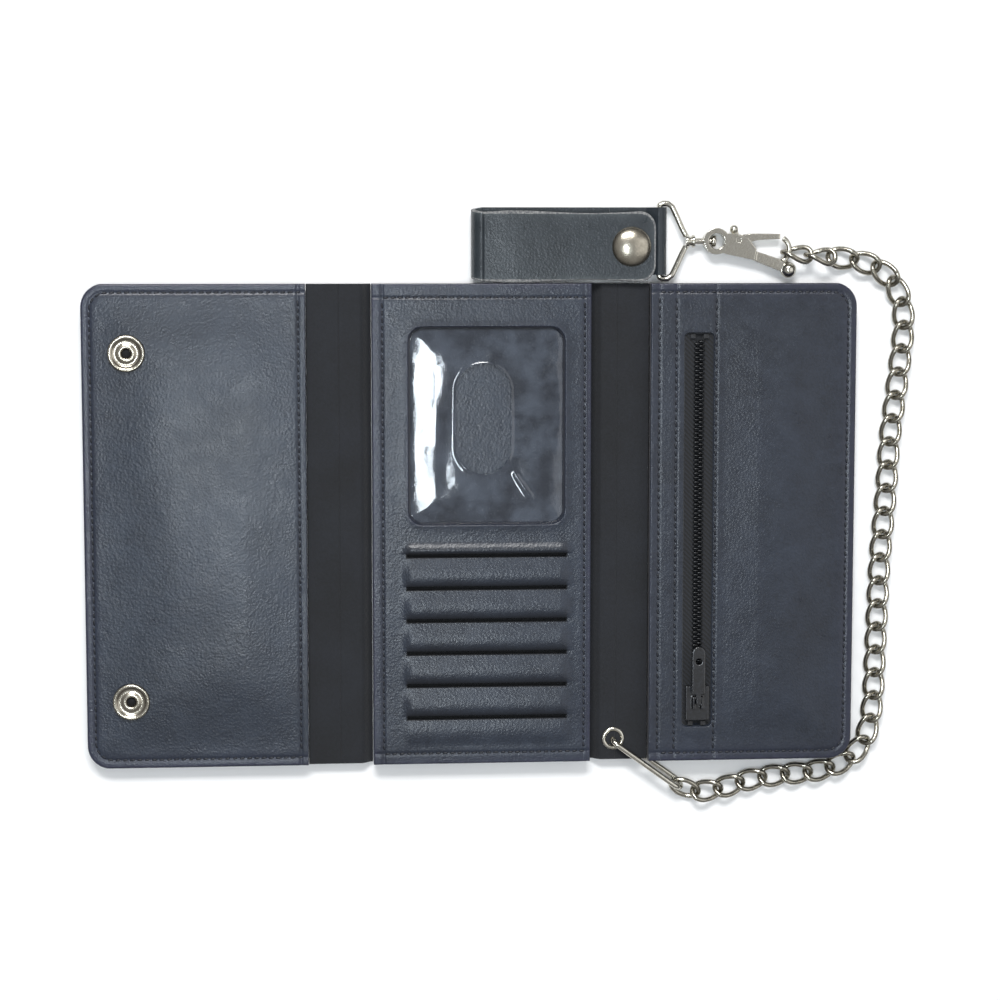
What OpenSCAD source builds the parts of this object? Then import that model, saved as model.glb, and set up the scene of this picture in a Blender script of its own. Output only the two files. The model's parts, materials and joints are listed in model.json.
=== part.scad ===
// Chain wallet, lying open: a leather trifold with a card panel, a zipped coin pocket,
// a curb chain, a trigger hook and a belt-loop fob. Millimetres, +Z up, the table is z = 0,
// and the origin is on the table under the middle of the open wallet.

/* [Wallet] */
// Height of the leather cover
body_h = 173; // [160:1:190]
// Width of the left pocket panel
left_w = 79; // [70:1:90]
// Width of the fold between the left pocket and the card panel
left_fold_w = 23; // [21:1:27]
// Width of the card panel
middle_w = 78.6; // [72:0.2:90]
// Width of the fold that carries the chain eyelet
right_fold_w = 20.8; // [19:0.2:25]
// Width of the zipped pocket panel
right_w = 74.6; // [66:0.2:84]
// Radius of the outer corners
corner_r = 8.5; // [4:0.5:14]
// Thickness of the cover leather
cover_t = 1.6; // [1.2:0.1:1.8]
// Thickness of the panel leather
panel_t = 1.4; // [1.0:0.1:1.6]
// Height that the snaps underneath lift the two flaps
flap_lift = 3.0; // [2.6:0.1:3.2]

/* [Cards] */
// Width of each card slit
slit_w = 57.6; // [56:0.2:64]
// Opening of each card slit
slit_gap = 1.4; // [1:0.1:2]
// Distance between card slits
slit_pitch = 11.75; // [10:0.25:12.5]
// Number of card slits
slit_count = 6; // [6:1:6]
// Height of the first slit above the middle of the wallet
slit_top_y = -10.1; // [-14:0.1:-6]
// Middle of the slits and the window across the panel, from its left edge
card_column_x = 41.0; // [39:0.2:44]
// Length of a card pocket behind its slit
card_l = 86; // [86:0.5:88]
// Thickness of a pocket lining
lining_t = 0.35; // [0.25:0.05:0.4]
// Room between two linings
lining_gap = 0.25; // [0.2:0.05:0.3]
// Width of the identity window
window_w = 54.4; // [50:0.2:58]
// Height of the identity window
window_h = 69.1; // [60:0.1:70]
// Width of the thumb hole in the window
thumb_w = 19.8; // [16:0.2:22]
// Height of the thumb hole in the window
thumb_h = 39.6; // [30:0.2:42]

/* [Zipped pocket] */
// Width of the zip opening
zip_w = 10.1; // [9.5:0.1:12]
// Length of the zip opening
zip_l = 141.8; // [120:0.2:146]
// Middle of the zip from the fold edge of the panel
zip_x = 17.6; // [16:0.1:24]
// Distance between two zip teeth
tooth_pitch = 1.6; // [1.4:0.1:2]

/* [Chain] */
// Wire of the chain links
link_wire = 1.8; // [1.6:0.05:1.85]
// Distance between two links
link_pitch = 8.5; // [8.4:0.05:8.55]
// Half length of a link's centre line
link_a = 5.35; // [5.3:0.05:5.4]
// Half width of a link's centre line
link_b = 3.35; // [3.3:0.05:3.4]
// Twist of a link out of its plane
link_twist = 1.3; // [1.25:0.05:1.4]
// Wire of the long connector link
connector_wire = 2.0; // [1.8:0.1:2.1]
// Length of the connector link from the eyelet to its far end
connector_l = 31; // [28:0.5:34]

/* [Fob] */
// Width of the fob strap
strap_w = 24; // [22:0.5:24.5]
// Thickness of the strap leather
strap_t = 1.5; // [1.2:0.1:1.6]
// Length of the belt loop from its bend to the ring bar
strap_l = 67.4; // [62:0.2:72]
// Room for the belt between the two strap layers
belt_gap = 5.0; // [4.6:0.1:6]
// Wire of the swivel ring
eye_wire = 2.2; // [2:0.1:2.4]

/* [Snaps] */
// Diameter of the caps on the pocket flap
cap_d = 15.1; // [13:0.1:16]
// Diameter of the snap sockets
socket_d = 13; // [11:0.1:13.5]
// Hole in a snap socket
socket_hole_d = 5.6; // [5:0.1:6]
// Diameter of a snap stud's head
stud_d = 5.0; // [4.4:0.1:5]
// Gap between a stud's head and its socket
snap_clearance = 0.3; // [0.2:0.05:0.4]

/* [Hidden] */
$fn = 48;
open_w = left_w + left_fold_w + middle_w + right_fold_w + right_w;
x_left = -open_w / 2;
x_fold_l = x_left + left_w;
x_mid_l = x_fold_l + left_fold_w;
x_mid_r = x_mid_l + middle_w;
x_fold_r = x_mid_r + right_fold_w;
x_right = x_fold_r + right_w;
y_bot = -body_h / 2;
y_top = body_h / 2;

// Middle stack, from the table up: cover, lining board, six pocket linings, window, face
board_t = 0.8;
lining_step = lining_t + lining_gap;
vinyl_t = 0.4;
z_board = cover_t;
z_linings = z_board + board_t;
z_vinyl = z_linings + slit_count * lining_step;
z_face = z_vinyl + vinyl_t;
z_mid_top = z_face + panel_t;
column_x = x_mid_l + card_column_x;
window_y = 35.7;
window_r = 4.5;
thumb_x = column_x - 1.1;
thumb_y = 38.2;

// Flap stacks
z_cover = flap_lift;
z_inner = z_cover + cover_t;
pocket_gap = 0.8;
z_left_top = z_inner + pocket_gap + panel_t;
coin_depth = 3.6;
z_zip_under = z_inner + coin_depth;
z_right_top = z_zip_under + panel_t;
edge_w = 4.4;

// Snaps of the pocket flap and the studs that they meet when the wallet is closed
snap_inset = 16;
snap_y = 62;
snap_x = x_left + snap_inset;
crease_z1 = 3.8;
crease_z2 = 6.0;
crease_x1 = x_mid_r + 3.2;
crease_x2 = x_fold_r - 5.4;
crease_z3 = 3.8;
crease_z4 = 5.5;
snap_room = 3.2;
closed_right_z = crease_x2 + crease_z2 - z_cover - crease_x1 + crease_z1;
closed_left_z = closed_right_z + snap_room;
crease_x3 = x_mid_l - 1.7;
crease_x4 = crease_x3 - (closed_left_z + z_left_top - crease_z3 - crease_z4);
snap_closed_x = crease_x3 + crease_z4 - crease_z3 + crease_x4 - snap_x;
stud_x = crease_x1 + crease_z1 - crease_z2 + crease_x2 - snap_closed_x;
stud_base_d = 10.5;
stud_base_t = 0.8;

// Eyelet and connector
eyelet_x = (x_mid_r + x_fold_r) / 2 - 1.9;
eyelet_y = y_bot + 8;
eyelet_d = 8.4;
eyelet_hole_d = 5.2;
eyelet_t = 0.8;
connector_dir = -36;
connector_roll = 20;
connector_low = connector_wire / 2 + 0.05;
connector_high = z_inner + eyelet_t + 0.2 + connector_wire / 2;
connector_b = (connector_high - connector_low) / 2 / cos(connector_roll);

// Zip
zip_mid_x = x_fold_r + zip_x;
zip_mid_y = -2.5;
tape_w = 10.5;
tape_t = 0.6;
tooth_w = 1.9;
tooth_t = 1.3;
z_tape = z_zip_under - tape_t;
slider_l = 12.5;
slider_w = 8.4;
slider_travel = zip_l - slider_l - 5;
slider_y0 = zip_mid_y - zip_l / 2 + 2.2;

// Chain route: the centre line that the links follow, from the connector to the hook
route = [
  [74, -96], [81.8, -99.4], [90, -98.4], [100, -95.6], [112, -93.6], [127.5, -92.8], [137.8, -89.6], [144.7, -81.2],
  [147.3, -70], [148, -45], [149, -15], [151, 10], [152, 30], [154.5, 50], [156.8, 70], [155.7, 82],
  [150.4, 90], [142.4, 94], [134, 95.2], [124, 95.9], [104, 98.2]
];
link_count = 34;
link_z = link_twist + link_wire / 2;
seg_first = [0, 4, 8, 12, 17, 21, 25, 29, 34];

// Fob: strap, bend, swivel ring and hook
fob_y = 101.2;
bar_x = 67.0;
bar_z = strap_t + 0.15 + eye_wire / 2;
bend_x = bar_x - strap_l + strap_t + belt_gap / 2;
bend_z = strap_t + belt_gap / 2;
z_front = strap_t + belt_gap;
flap_y = 99.3;
flap_w = strap_w + 0.6;
fob_snap_x = 56.6;
fob_cap_d = cap_d;
wrap_clear = 0.15;
eye_half = 13.4;
swivel_x = 79.4;
swivel_y = 101.2;
hook_z = 3.0;
hook_ring_x = 87.6;
hook_ring_d = 9.4;
hook_ring_hole_d = 5.6;
post_d = 2.3;
gate_x = 95.6;
gate_y = 101.6;
gate_pin_d = 1.6;
gate_t = 1.7;
hook_half_t = 2.2;
tip_x = 111.0;
tip_y = 103.0;

leather = [0.30, 0.33, 0.39];
dark_leather = [0.17, 0.18, 0.20];
nickel = [0.72, 0.72, 0.70];
zip_black = [0.07, 0.07, 0.08];

// ---- helpers -------------------------------------------------------------------------

// A plate whose two outer corners are round; side is 1 for corners at the high x end
module flap_2d(x0, x1, y0, y1, r, side) {
  mirror([side < 0 ? 1 : 0, 0])
    translate([side < 0 ? -x1 : x0, 0]) {
      w = x1 - x0;
      translate([0, y0]) square([w - r, y1 - y0]);
      translate([0, y0 + r]) square([w, y1 - y0 - 2 * r]);
      for (y = [y0 + r, y1 - r]) translate([w - r, y]) circle(r);
    }
}

// A rectangle with four round corners, around the origin
module rounded_2d(w, h, r) {
  square([w - 2 * r, h], center = true);
  square([w, h - 2 * r], center = true);
  for (x = [-1, 1], y = [-1, 1]) translate([x * (w / 2 - r), y * (h / 2 - r)]) circle(r);
}

// A slab between two heights
module slab(z0, z1) {
  translate([0, 0, z0]) linear_extrude(z1 - z0) children();
}

// A profile drawn in X and Z, run along Y
module along_y(y0, y1) {
  translate([0, y1, 0]) rotate([90, 0, 0]) linear_extrude(y1 - y0) children();
}

function unit(v) = v / norm(v);

// Rings of points around a path; ref is a direction that the path never runs along
function tube_points(path, d, sides, closed, ref) = [
  for (i = [0 : len(path) - 1])
    let (
      n = len(path),
      a = closed ? path[(i + n - 1) % n] : path[max(i - 1, 0)],
      b = closed ? path[(i + 1) % n] : path[min(i + 1, n - 1)],
      t = unit(b - a),
      u = unit(cross(t, ref)),
      v = cross(t, u)
    )
    for (j = [0 : sides - 1])
      path[i] + d / 2 * (cos(360 * j / sides) * u + sin(360 * j / sides) * v)
];

// Round wire swept along a path
module wire(path, d, sides = 8, closed = true, ref = [0, 0, 1]) {
  n = len(path);
  turns = closed ? n : n - 1;
  walls = [
    for (i = [0 : turns - 1], j = [0 : sides - 1])
      let (
        a = i * sides + j,
        b = i * sides + (j + 1) % sides,
        c = ((i + 1) % n) * sides + (j + 1) % sides,
        e = ((i + 1) % n) * sides + j
      )
      each [[a, c, b], [a, e, c]]
  ];
  caps = closed ? [] : [
    [for (j = [0 : sides - 1]) j],
    [for (j = [sides - 1 : -1 : 0]) (n - 1) * sides + j]
  ];
  polyhedron(tube_points(path, d, sides, closed, ref), concat(walls, caps), convexity = 6);
}

// Distance run along a path of points up to point i, and the place at a given distance
function run_to(path, i) = i == 0 ? 0 : run_to(path, i - 1) + norm(path[i] - path[i - 1]);
function place_at(path, s, i = 1) =
  let (step = norm(path[i] - path[i - 1]))
  s <= step || i == len(path) - 1
    ? path[i - 1] + (path[i] - path[i - 1]) * s / step
    : place_at(path, s - step, i + 1);

// ---- wallet cover and folds ----------------------------------------------------------

module cover_middle() {
  color(dark_leather)
    slab(0, cover_t) translate([x_mid_l, y_bot]) square([middle_w, body_h]);
}

module cover_left() {
  color(leather)
    slab(z_cover, z_inner) flap_2d(x_left, x_fold_l, y_bot, y_top, corner_r, -1);
}

module cover_right() {
  color(leather)
    slab(z_cover, z_inner) flap_2d(x_fold_r, x_right, y_bot, y_top, corner_r, 1);
}

// Section of a fold strip that steps up from the table to the lifted flap
module fold_section(x_low, x_high, step_w) {
  dir = x_high > x_low ? 1 : -1;
  steps = 8;
  rise = [for (i = [0 : steps]) [
    x_low + dir * step_w * i / steps, z_cover * (1 - cos(180 * i / steps)) / 2
  ]];
  low = concat(rise, [[x_high, z_cover]]);
  high = [for (i = [len(low) - 1 : -1 : 0]) low[i] + [0, cover_t]];
  polygon(concat(low, high));
}

module right_fold() {
  color(dark_leather)
    difference() {
      along_y(y_bot, y_top) fold_section(x_mid_r, x_fold_r, 4.2);
      translate([eyelet_x, eyelet_y, 0]) cylinder(d = eyelet_hole_d + 1, h = 20);
    }
}

module left_fold() {
  color(dark_leather)
    along_y(y_bot, y_top) fold_section(x_mid_l, x_fold_l, 4.2);
}

// ---- card panel ----------------------------------------------------------------------

module card_board() {
  color(dark_leather)
    slab(z_board, z_linings)
      translate([x_mid_l + 0.4, y_bot + 0.4]) square([middle_w - 0.8, body_h - 0.8]);
}

// Slits are numbered from the window down; a lower slit's lining runs further back
function slit_y(i) = slit_top_y - (i - 1) * slit_pitch;

module card_pocket(i) {
  z = z_vinyl - i * lining_step + lining_gap / 2;
  y0 = slit_y(i) - 4;
  y1 = min(slit_y(i) + card_l, y_top - edge_w);
  w = slit_w + 3;
  color(dark_leather) {
    slab(z, z + lining_t) translate([column_x - w / 2, y0]) square([w, y1 - y0]);
    slab(z, z_face) translate([column_x - slit_w / 2, y0]) square([slit_w, 4 - slit_gap]);
  }
}

module card_pocket_1() { card_pocket(1); }
module card_pocket_2() { card_pocket(2); }
module card_pocket_3() { card_pocket(3); }
module card_pocket_4() { card_pocket(4); }
module card_pocket_5() { card_pocket(5); }
module card_pocket_6() { card_pocket(6); }

module card_panel() {
  rail = column_x - x_mid_l - slit_w / 2 - 3;
  color(leather)
    difference() {
      union() {
        slab(z_face, z_mid_top) translate([x_mid_l, y_bot]) square([middle_w, body_h]);
        slab(z_linings, z_face) {
          translate([x_mid_l, y_bot]) square([rail, body_h]);
          translate([x_mid_r - 4, y_bot]) square([4, body_h]);
          translate([x_mid_l, y_bot]) square([middle_w, edge_w]);
          translate([x_mid_l, y_top - edge_w + 0.2]) square([middle_w, edge_w - 0.2]);
        }
      }
      translate([column_x, window_y, 0])
        linear_extrude(z_mid_top + 1) rounded_2d(window_w, window_h, window_r);
      for (i = [1 : slit_count])
        translate([column_x - slit_w / 2, slit_y(i) - slit_gap, z_face - 1])
          cube([slit_w, slit_gap, panel_t + 2]);
    }
}

module id_window() {
  color([0.75, 0.82, 0.86])
    slab(z_vinyl + 0.15, z_face)
      difference() {
        translate([column_x, window_y]) square([window_w + 5, window_h + 5], center = true);
        translate([thumb_x, thumb_y]) rounded_2d(thumb_w, thumb_h, thumb_w / 2 - 0.1);
      }
}

// ---- left pocket ---------------------------------------------------------------------

module left_pocket_panel() {
  color(leather)
    difference() {
      slab(z_inner, z_left_top) flap_2d(x_left, x_fold_l, y_bot, y_top, corner_r, -1);
      translate([x_left + edge_w, y_bot + edge_w, z_inner - 1])
        cube([left_w, body_h - 2 * edge_w, pocket_gap + 1]);
      for (y = [-snap_y, snap_y])
        translate([snap_x, y, 0]) cylinder(d = socket_hole_d - 0.6, h = 30);
    }
}

module left_snap_caps() {
  color(nickel)
    for (y = [-snap_y, snap_y])
      translate([snap_x, y, 0]) {
        rotate_extrude() polygon([
          [0, 0], [cap_d * 0.30, 0.15], [cap_d * 0.42, 0.8], [cap_d / 2, z_cover - 0.6],
          [cap_d / 2, z_cover], [0, z_cover]
        ]);
      }
}

module left_snap_sockets() {
  h = 2.0;
  color(nickel)
    for (y = [-snap_y, snap_y])
      translate([snap_x, y, z_left_top])
        rotate_extrude() polygon([
          [socket_hole_d / 2, 0], [socket_d / 2, 0], [socket_d / 2, 0.5], [socket_d / 2 - 1.6, 0.8],
          [socket_hole_d / 2 + 1.4, h], [socket_hole_d / 2, h]
        ]);
}

// ---- right pocket with the zip -------------------------------------------------------

module zip_pocket_panel() {
  color(leather)
    difference() {
      slab(z_inner, z_right_top) flap_2d(x_fold_r, x_right, y_bot, y_top, corner_r, 1);
      translate([x_fold_r + edge_w, y_bot + edge_w, z_inner - 1])
        cube([right_w - 2 * edge_w, body_h - 2 * edge_w, coin_depth + 1]);
      translate([zip_mid_x, zip_mid_y, 0]) linear_extrude(30) rounded_2d(zip_w, zip_l, 1.5);
    }
}

module zipper_tape(side) {
  x0 = zip_mid_x + (side < 0 ? -tooth_w / 2 - tape_w : tooth_w / 2);
  color(zip_black)
    slab(z_tape, z_zip_under)
      translate([x0, zip_mid_y - zip_l / 2 - 3]) square([tape_w, zip_l + 6]);
}

module zipper_tape_left() { zipper_tape(-1); }
module zipper_tape_right() { zipper_tape(1); }

// One row of teeth on its bead; the two rows stand half a pitch apart
module teeth_row(side) {
  count = floor((zip_l - 4) / tooth_pitch);
  y0 = zip_mid_y - zip_l / 2 + 2;
  tooth = tooth_pitch * 0.42;
  shift = side < 0 ? 0 : tooth_pitch / 2;
  comb = [for (i = [0 : count - 1], c = [0 : 3])
    let (y = y0 + shift + i * tooth_pitch)
    [c == 0 || c == 3 ? 0.5 : tooth_w / 2 + 0.35, c < 2 ? y : y + tooth]
  ];
  outline = concat([[0, y0 - 0.4]], [[0.5, y0 - 0.4]], comb,
    [[0.5, y0 + count * tooth_pitch + 0.6], [0, y0 + count * tooth_pitch + 0.6]]);
  color(zip_black)
    translate([zip_mid_x, 0, z_zip_under])
      mirror([side > 0 ? 1 : 0, 0, 0])
        translate([-tooth_w / 2 - 0.15, 0, 0]) linear_extrude(tooth_t) polygon(outline);
}

module zipper_teeth_left() { teeth_row(-1); }
module zipper_teeth_right() { teeth_row(1); }

module zipper_stops() {
  color(nickel)
    for (s = [-1, 1], side = [-1, 1])
      translate([zip_mid_x + side * 2.35, zip_mid_y + s * (zip_l / 2 - 0.9), z_zip_under + 0.6])
        cube([1.8, 1.4, 1.2], center = true);
}

module coin_pocket_bag() {
  x0 = x_fold_r + edge_w + 0.5;
  w = right_w - 2 * edge_w - 1;
  color(dark_leather)
    slab(z_inner + 0.9, z_inner + 1.3)
      translate([x0, y_bot + edge_w + 0.5]) square([w, body_h - 2 * edge_w - 1]);
}

module right_snap_studs() {
  color(nickel)
    for (y = [-snap_y, snap_y])
      translate([stud_x, y, z_cover])
        rotate([180, 0, 0])
          rotate_extrude() polygon([
            [0, 0], [stud_base_d / 2, 0], [stud_base_d / 2, 0.5], [stud_base_d / 2 - 1, stud_base_t],
            [stud_d / 2 - 0.5, 1.1], [stud_d / 2 - 0.4, 1.6], [stud_d / 2, 2.1],
            [stud_d / 2 - 0.4, 2.8], [0, flap_lift]
          ]);
}

module right_snap_posts() {
  color(nickel)
    for (y = [-snap_y, snap_y])
      translate([stud_x, y, z_inner]) cylinder(d = 8, h = 0.6);
}

// ---- zip slider ----------------------------------------------------------------------

module zipper_slider() {
  z_top = z_zip_under + tooth_t + 0.35;
  color(zip_black)
    translate([zip_mid_x, slider_y0, 0]) {
      difference() {
        translate([-slider_w / 2, 0, z_zip_under + 0.25])
          cube([slider_w, slider_l, z_top + 1 - z_zip_under - 0.25]);
        translate([-2.2, -1, z_zip_under]) cube([4.4, slider_l + 2, tooth_t + 0.35]);
      }
      for (x = [-1.9, 1.1])
        translate([x, slider_l * 0.35, z_top + 0.9]) cube([0.8, 4.4, 1.7]);
      translate([-1.9, slider_l * 0.35 + 3.4, z_top + 1.7]) cube([3.8, 1.0, 0.9]);
    }
}

pull_axis_z = z_zip_under + tooth_t + 0.35 + 1.75;
pull_axis_y = slider_y0 + slider_l * 0.35 + 2.0;

// The tab lies up the zip from the slider's bridge
module zipper_pull() {
  color(zip_black)
    translate([zip_mid_x, pull_axis_y, pull_axis_z]) {
      translate([-0.8, 0, 0]) rotate([0, 90, 0]) cylinder(d = 1.1, h = 1.6);
      translate([-0.7, 0, -0.55]) cube([1.4, 1.0, 1.1]);
      difference() {
        translate([0, 0, 1.0]) union() {
          translate([-0.7, -0.4, -1.2]) cube([1.4, 1.2, 2.3]);
          translate([-0.9, -0.4, 0.1]) cube([1.8, 6, 1.0]);
          translate([-2.4, 3.5, 0.1]) cube([4.8, 15, 1.0]);
          translate([0, 18.5, 0.1]) cylinder(d = 4.8, h = 1.0);
        }
        translate([0, 15.5, 0]) cylinder(d = 2.2, h = 6);
      }
    }
}

// ---- eyelet and connector ------------------------------------------------------------

module chain_eyelet() {
  r = eyelet_hole_d / 2;
  color(nickel)
    translate([eyelet_x, eyelet_y, z_cover])
      rotate_extrude() polygon([
        [r, 0], [r + 0.45, 0], [r + 0.45, cover_t], [eyelet_d / 2, cover_t],
        [eyelet_d / 2 - 0.5, cover_t + eyelet_t * 0.8], [r + 0.3, cover_t + eyelet_t], [r, cover_t + 0.4]
      ]);
}

module eyelet_washer() {
  color(nickel)
    translate([eyelet_x, eyelet_y, z_cover - eyelet_t])
      difference() {
        cylinder(d = eyelet_d, h = eyelet_t);
        translate([0, 0, -1]) cylinder(d = eyelet_hole_d, h = eyelet_t + 2);
      }
}

// A long ring on edge: it drops through the eyelet and rounds the cover's lower edge
module connector_link() {
  steps = 9;
  b = connector_b;
  left = [for (i = [0 : steps]) let (a = 90 + 180 * i / steps) [b + b * cos(a), b * sin(a)]];
  right = [for (i = [0 : steps]) let (a = -90 + 180 * i / steps) [connector_l - b + b * cos(a), b * sin(a)]];
  path = [for (p = concat(left, right)) [p[0], 0, p[1]]];
  color(nickel)
    translate([eyelet_x, eyelet_y, connector_low + b * cos(connector_roll)])
      rotate([0, 0, connector_dir]) rotate([connector_roll, 0, 0])
        wire(path, connector_wire, 10, true, [0, 1, 0]);
}

// ---- chain ---------------------------------------------------------------------------

// A curb link: an oval whose wire is twisted so that a row of links lies flat
module curb_link(twist) {
  n = 20;
  path = [for (i = [0 : n - 1]) let (t = 360 * i / n)
    [link_a * cos(t), link_b * sin(t), twist * sin(2 * t)]];
  wire(path, link_wire, 8, true);
}

// The links hang on joints a pitch apart along the route, and each spans two joints
function joint_point(i) = place_at(route, i * link_pitch);
// The first links climb into the connector, and the last ones turn on edge for the claw
head_lift = [0.5, 1.0, 0.6];
head_roll = [30, 0, 0];
tail_lift = [1.75, 2.44, 0.16, 0.74, 0.73];
tail_roll = [54, 56.5, -3.8, 5.7, -1.8];
function link_lift(i) = i < 3 ? head_lift[i] : i > link_count - 6 ? tail_lift[link_count - 1 - i] : 0;
function link_roll(i) = i < 3 ? head_roll[i] : i > link_count - 6 ? tail_roll[link_count - 1 - i] : 0;

module chain_run(k) {
  color(nickel)
    for (i = [seg_first[k - 1] : seg_first[k] - 1]) {
      a = joint_point(i);
      b = joint_point(i + 1);
      translate([(a[0] + b[0]) / 2, (a[1] + b[1]) / 2, link_z + link_lift(i)])
        rotate([0, 0, atan2(b[1] - a[1], b[0] - a[0])]) rotate([link_roll(i), 0, 0])
          curb_link(i == 0 ? 0 : link_twist);
    }
}

module chain_run_1() { chain_run(1); }
module chain_run_2() { chain_run(2); }
module chain_run_3() { chain_run(3); }
module chain_run_4() { chain_run(4); }
module chain_run_5() { chain_run(5); }
module chain_run_6() { chain_run(6); }
module chain_run_7() { chain_run(7); }
module chain_run_8() { chain_run(8); }

// ---- trigger hook --------------------------------------------------------------------

// Swivel ring, cheeks that hold the gate, a long arm, a claw and a round end
module hook_body() {
  claw_x = 109.3;
  claw_y = 98.2;
  claw_r = 4.85;
  color(nickel) {
    difference() {
      union() {
        translate([hook_ring_x, swivel_y, hook_z - hook_half_t])
          cylinder(d = hook_ring_d, h = 2 * hook_half_t);
        slab(hook_z - hook_half_t, hook_z + hook_half_t)
          polygon([[89.5, 97], [92, 96.4], [101.5, 94.4], [102, 98.4], [99, 102.4], [93.5, 103.9], [89.5, 104]]);
      }
      translate([hook_ring_x, swivel_y, -1]) cylinder(d = hook_ring_hole_d, h = 20);
      translate([hook_ring_x - 8, swivel_y, hook_z]) rotate([0, 90, 0]) cylinder(d = post_d + 0.3, h = 6);
      translate([92.6, 98.4, hook_z - gate_t / 2 - 0.15]) cube([12, 9, gate_t + 0.3]);
      translate([gate_x, gate_y, -1]) cylinder(d = gate_pin_d, h = 20);
    }
    slab(hook_z - 1.6, hook_z + 1.6)
      polygon([[100, 94.8], [112.4, 89.8], [112.6, 93.2], [110.6, 94.8], [101.5, 97.8]]);
    translate([113.9, 91.0, hook_z]) sphere(d = 5.8);
    translate([claw_x, claw_y, hook_z])
      rotate([0, 0, -76]) rotate_extrude(angle = 134) translate([claw_r, 0]) circle(d = 2.1);
  }
}

// A lever on the pin: its long end closes the claw and its knob stands out beside the ring
module hook_gate() {
  color(nickel)
    difference() {
      union() {
        slab(hook_z - gate_t / 2, hook_z + gate_t / 2) {
          translate([gate_x, gate_y]) circle(d = 4);
          polygon([[gate_x, gate_y - 1.6], [103, tip_y - 1.4], [tip_x - 0.2, tip_y - 1.0],
            [tip_x - 0.2, tip_y + 0.8], [102, tip_y + 1.0], [gate_x, gate_y + 1.9]]);
          polygon([[gate_x - 2, gate_y], [gate_x + 1, gate_y], [gate_x - 0.4, gate_y + 3.6], [gate_x - 2.4, gate_y + 3.6]]);
        }
        translate([gate_x - 1.5, gate_y + 3.9, hook_z]) sphere(d = 3.2);
      }
      translate([gate_x, gate_y, -1]) cylinder(d = gate_pin_d + 0.12, h = 20);
    }
}

module gate_pin() {
  color(nickel)
    translate([gate_x, gate_y, hook_z - hook_half_t]) cylinder(d = gate_pin_d, h = 2 * hook_half_t);
}

// The strap ring narrows to a barrel, whose post turns in the hook's ring
module swivel_eye() {
  half = [[0, 11.4], [0.3, eye_half - 0.6], [1.4, eye_half], [3.2, eye_half], [4.8, 12.2], [6.6, 8.4], [8.4, 4.4], [9.8, 1.8]];
  last = len(half) - 1;
  loop = concat(
    [for (i = [last : -1 : 0]) [bar_x + half[i][0], swivel_y + half[i][1], bar_z]],
    [for (p = half) [bar_x + p[0], swivel_y - p[1], bar_z]]
  );
  color(nickel) {
    wire(loop, eye_wire, 12, false);
    translate([swivel_x - 2.8, swivel_y, hook_z]) rotate([0, 90, 0]) {
      cylinder(d = 4.6, h = 1.2);
      translate([0, 0, 1.2]) cylinder(d = 3.6, h = 1.2);
      translate([0, 0, 2.4]) cylinder(d = 4.6, h = 0.9);
      cylinder(d = post_d, h = 10);
      translate([0, 0, 9.4]) cylinder(d = 4.0, h = 1.4);
    }
  }
}

// ---- belt-loop fob -------------------------------------------------------------------

// Ring section between two angles, around the origin
function arc_points(r, a0, a1, steps = 10) =
  [for (i = [0 : steps]) let (a = a0 + (a1 - a0) * i / steps) [r * cos(a), r * sin(a)]];

// The back layer runs from the bend to the ring, wraps its bar and comes back to the stud
module fob_strap() {
  r = eye_wire / 2 + wrap_clear;
  outer = [for (p = arc_points(r + strap_t, -90, 90)) p + [bar_x, bar_z]];
  inner = [for (p = arc_points(r, 90, -90)) p + [bar_x, bar_z]];
  tail_x = fob_snap_x - 7.5;
  slope_x = bar_x - 4.6;
  color(leather)
    along_y(fob_y - strap_w / 2, fob_y + strap_w / 2)
      polygon(concat(
        [[bend_x, 0]], outer,
        [[bar_x - 0.6, 2 * bar_z], [slope_x, 2 * strap_t + 0.02], [tail_x, 2 * strap_t + 0.02], [tail_x, strap_t + 0.02],
         [slope_x + 0.4, strap_t + 0.02], [bar_x - 0.6, 2 * bar_z - strap_t]],
        inner,
        [[bar_x - 2.2, strap_t], [slope_x, strap_t - 0.02], [bend_x, strap_t]]
      ));
}

module fob_bend() {
  r = belt_gap / 2;
  color(leather)
    along_y(fob_y - strap_w / 2, fob_y + strap_w / 2 - 1)
      polygon([for (p = concat(arc_points(r + strap_t, 90, 270), arc_points(r, 270, 90))) p + [bend_x, bend_z]]);
}

module fob_flap() {
  x1 = fob_snap_x + 8.8;
  y0 = flap_y - flap_w / 2;
  y1 = flap_y + flap_w / 2;
  color(leather)
    slab(z_front, z_front + strap_t)
      difference() {
        flap_2d(bend_x, x1, y0, y1, 5.5, 1);
        translate([fob_snap_x, flap_y]) circle(d = 2.4);
      }
}

module fob_snap_cap() {
  z = z_front + strap_t;
  color(nickel)
    translate([fob_snap_x, flap_y, z]) {
      rotate_extrude() polygon([
        [0, 0], [fob_cap_d / 2, 0], [fob_cap_d / 2, 0.6], [fob_cap_d * 0.46, 1.5],
        [fob_cap_d * 0.36, 2.1], [fob_cap_d * 0.2, 2.5], [0, 2.6]
      ]);
      translate([0, 0, -strap_t]) cylinder(d = 2.4, h = strap_t);
    }
}

module fob_snap_socket() {
  h = 2.0;
  color(nickel)
    translate([fob_snap_x, flap_y, z_front - h])
      difference() {
        cylinder(d = 11.5, h = h);
        translate([0, 0, -1]) cylinder(d = stud_d + 2 * snap_clearance, h = h + 0.6);
      }
}

module fob_snap_stud() {
  z = 2 * strap_t + 0.02;
  color(nickel)
    translate([fob_snap_x, flap_y, z])
      rotate_extrude() polygon([
        [0, 0], [stud_base_d / 2, 0], [stud_base_d / 2, 0.4], [stud_d / 2 - 0.4, 0.9],
        [stud_d / 2, 1.7], [stud_d / 2, 2.2], [stud_d / 2 - 0.5, 2.7], [0, 2.8]
      ]);
}

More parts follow.
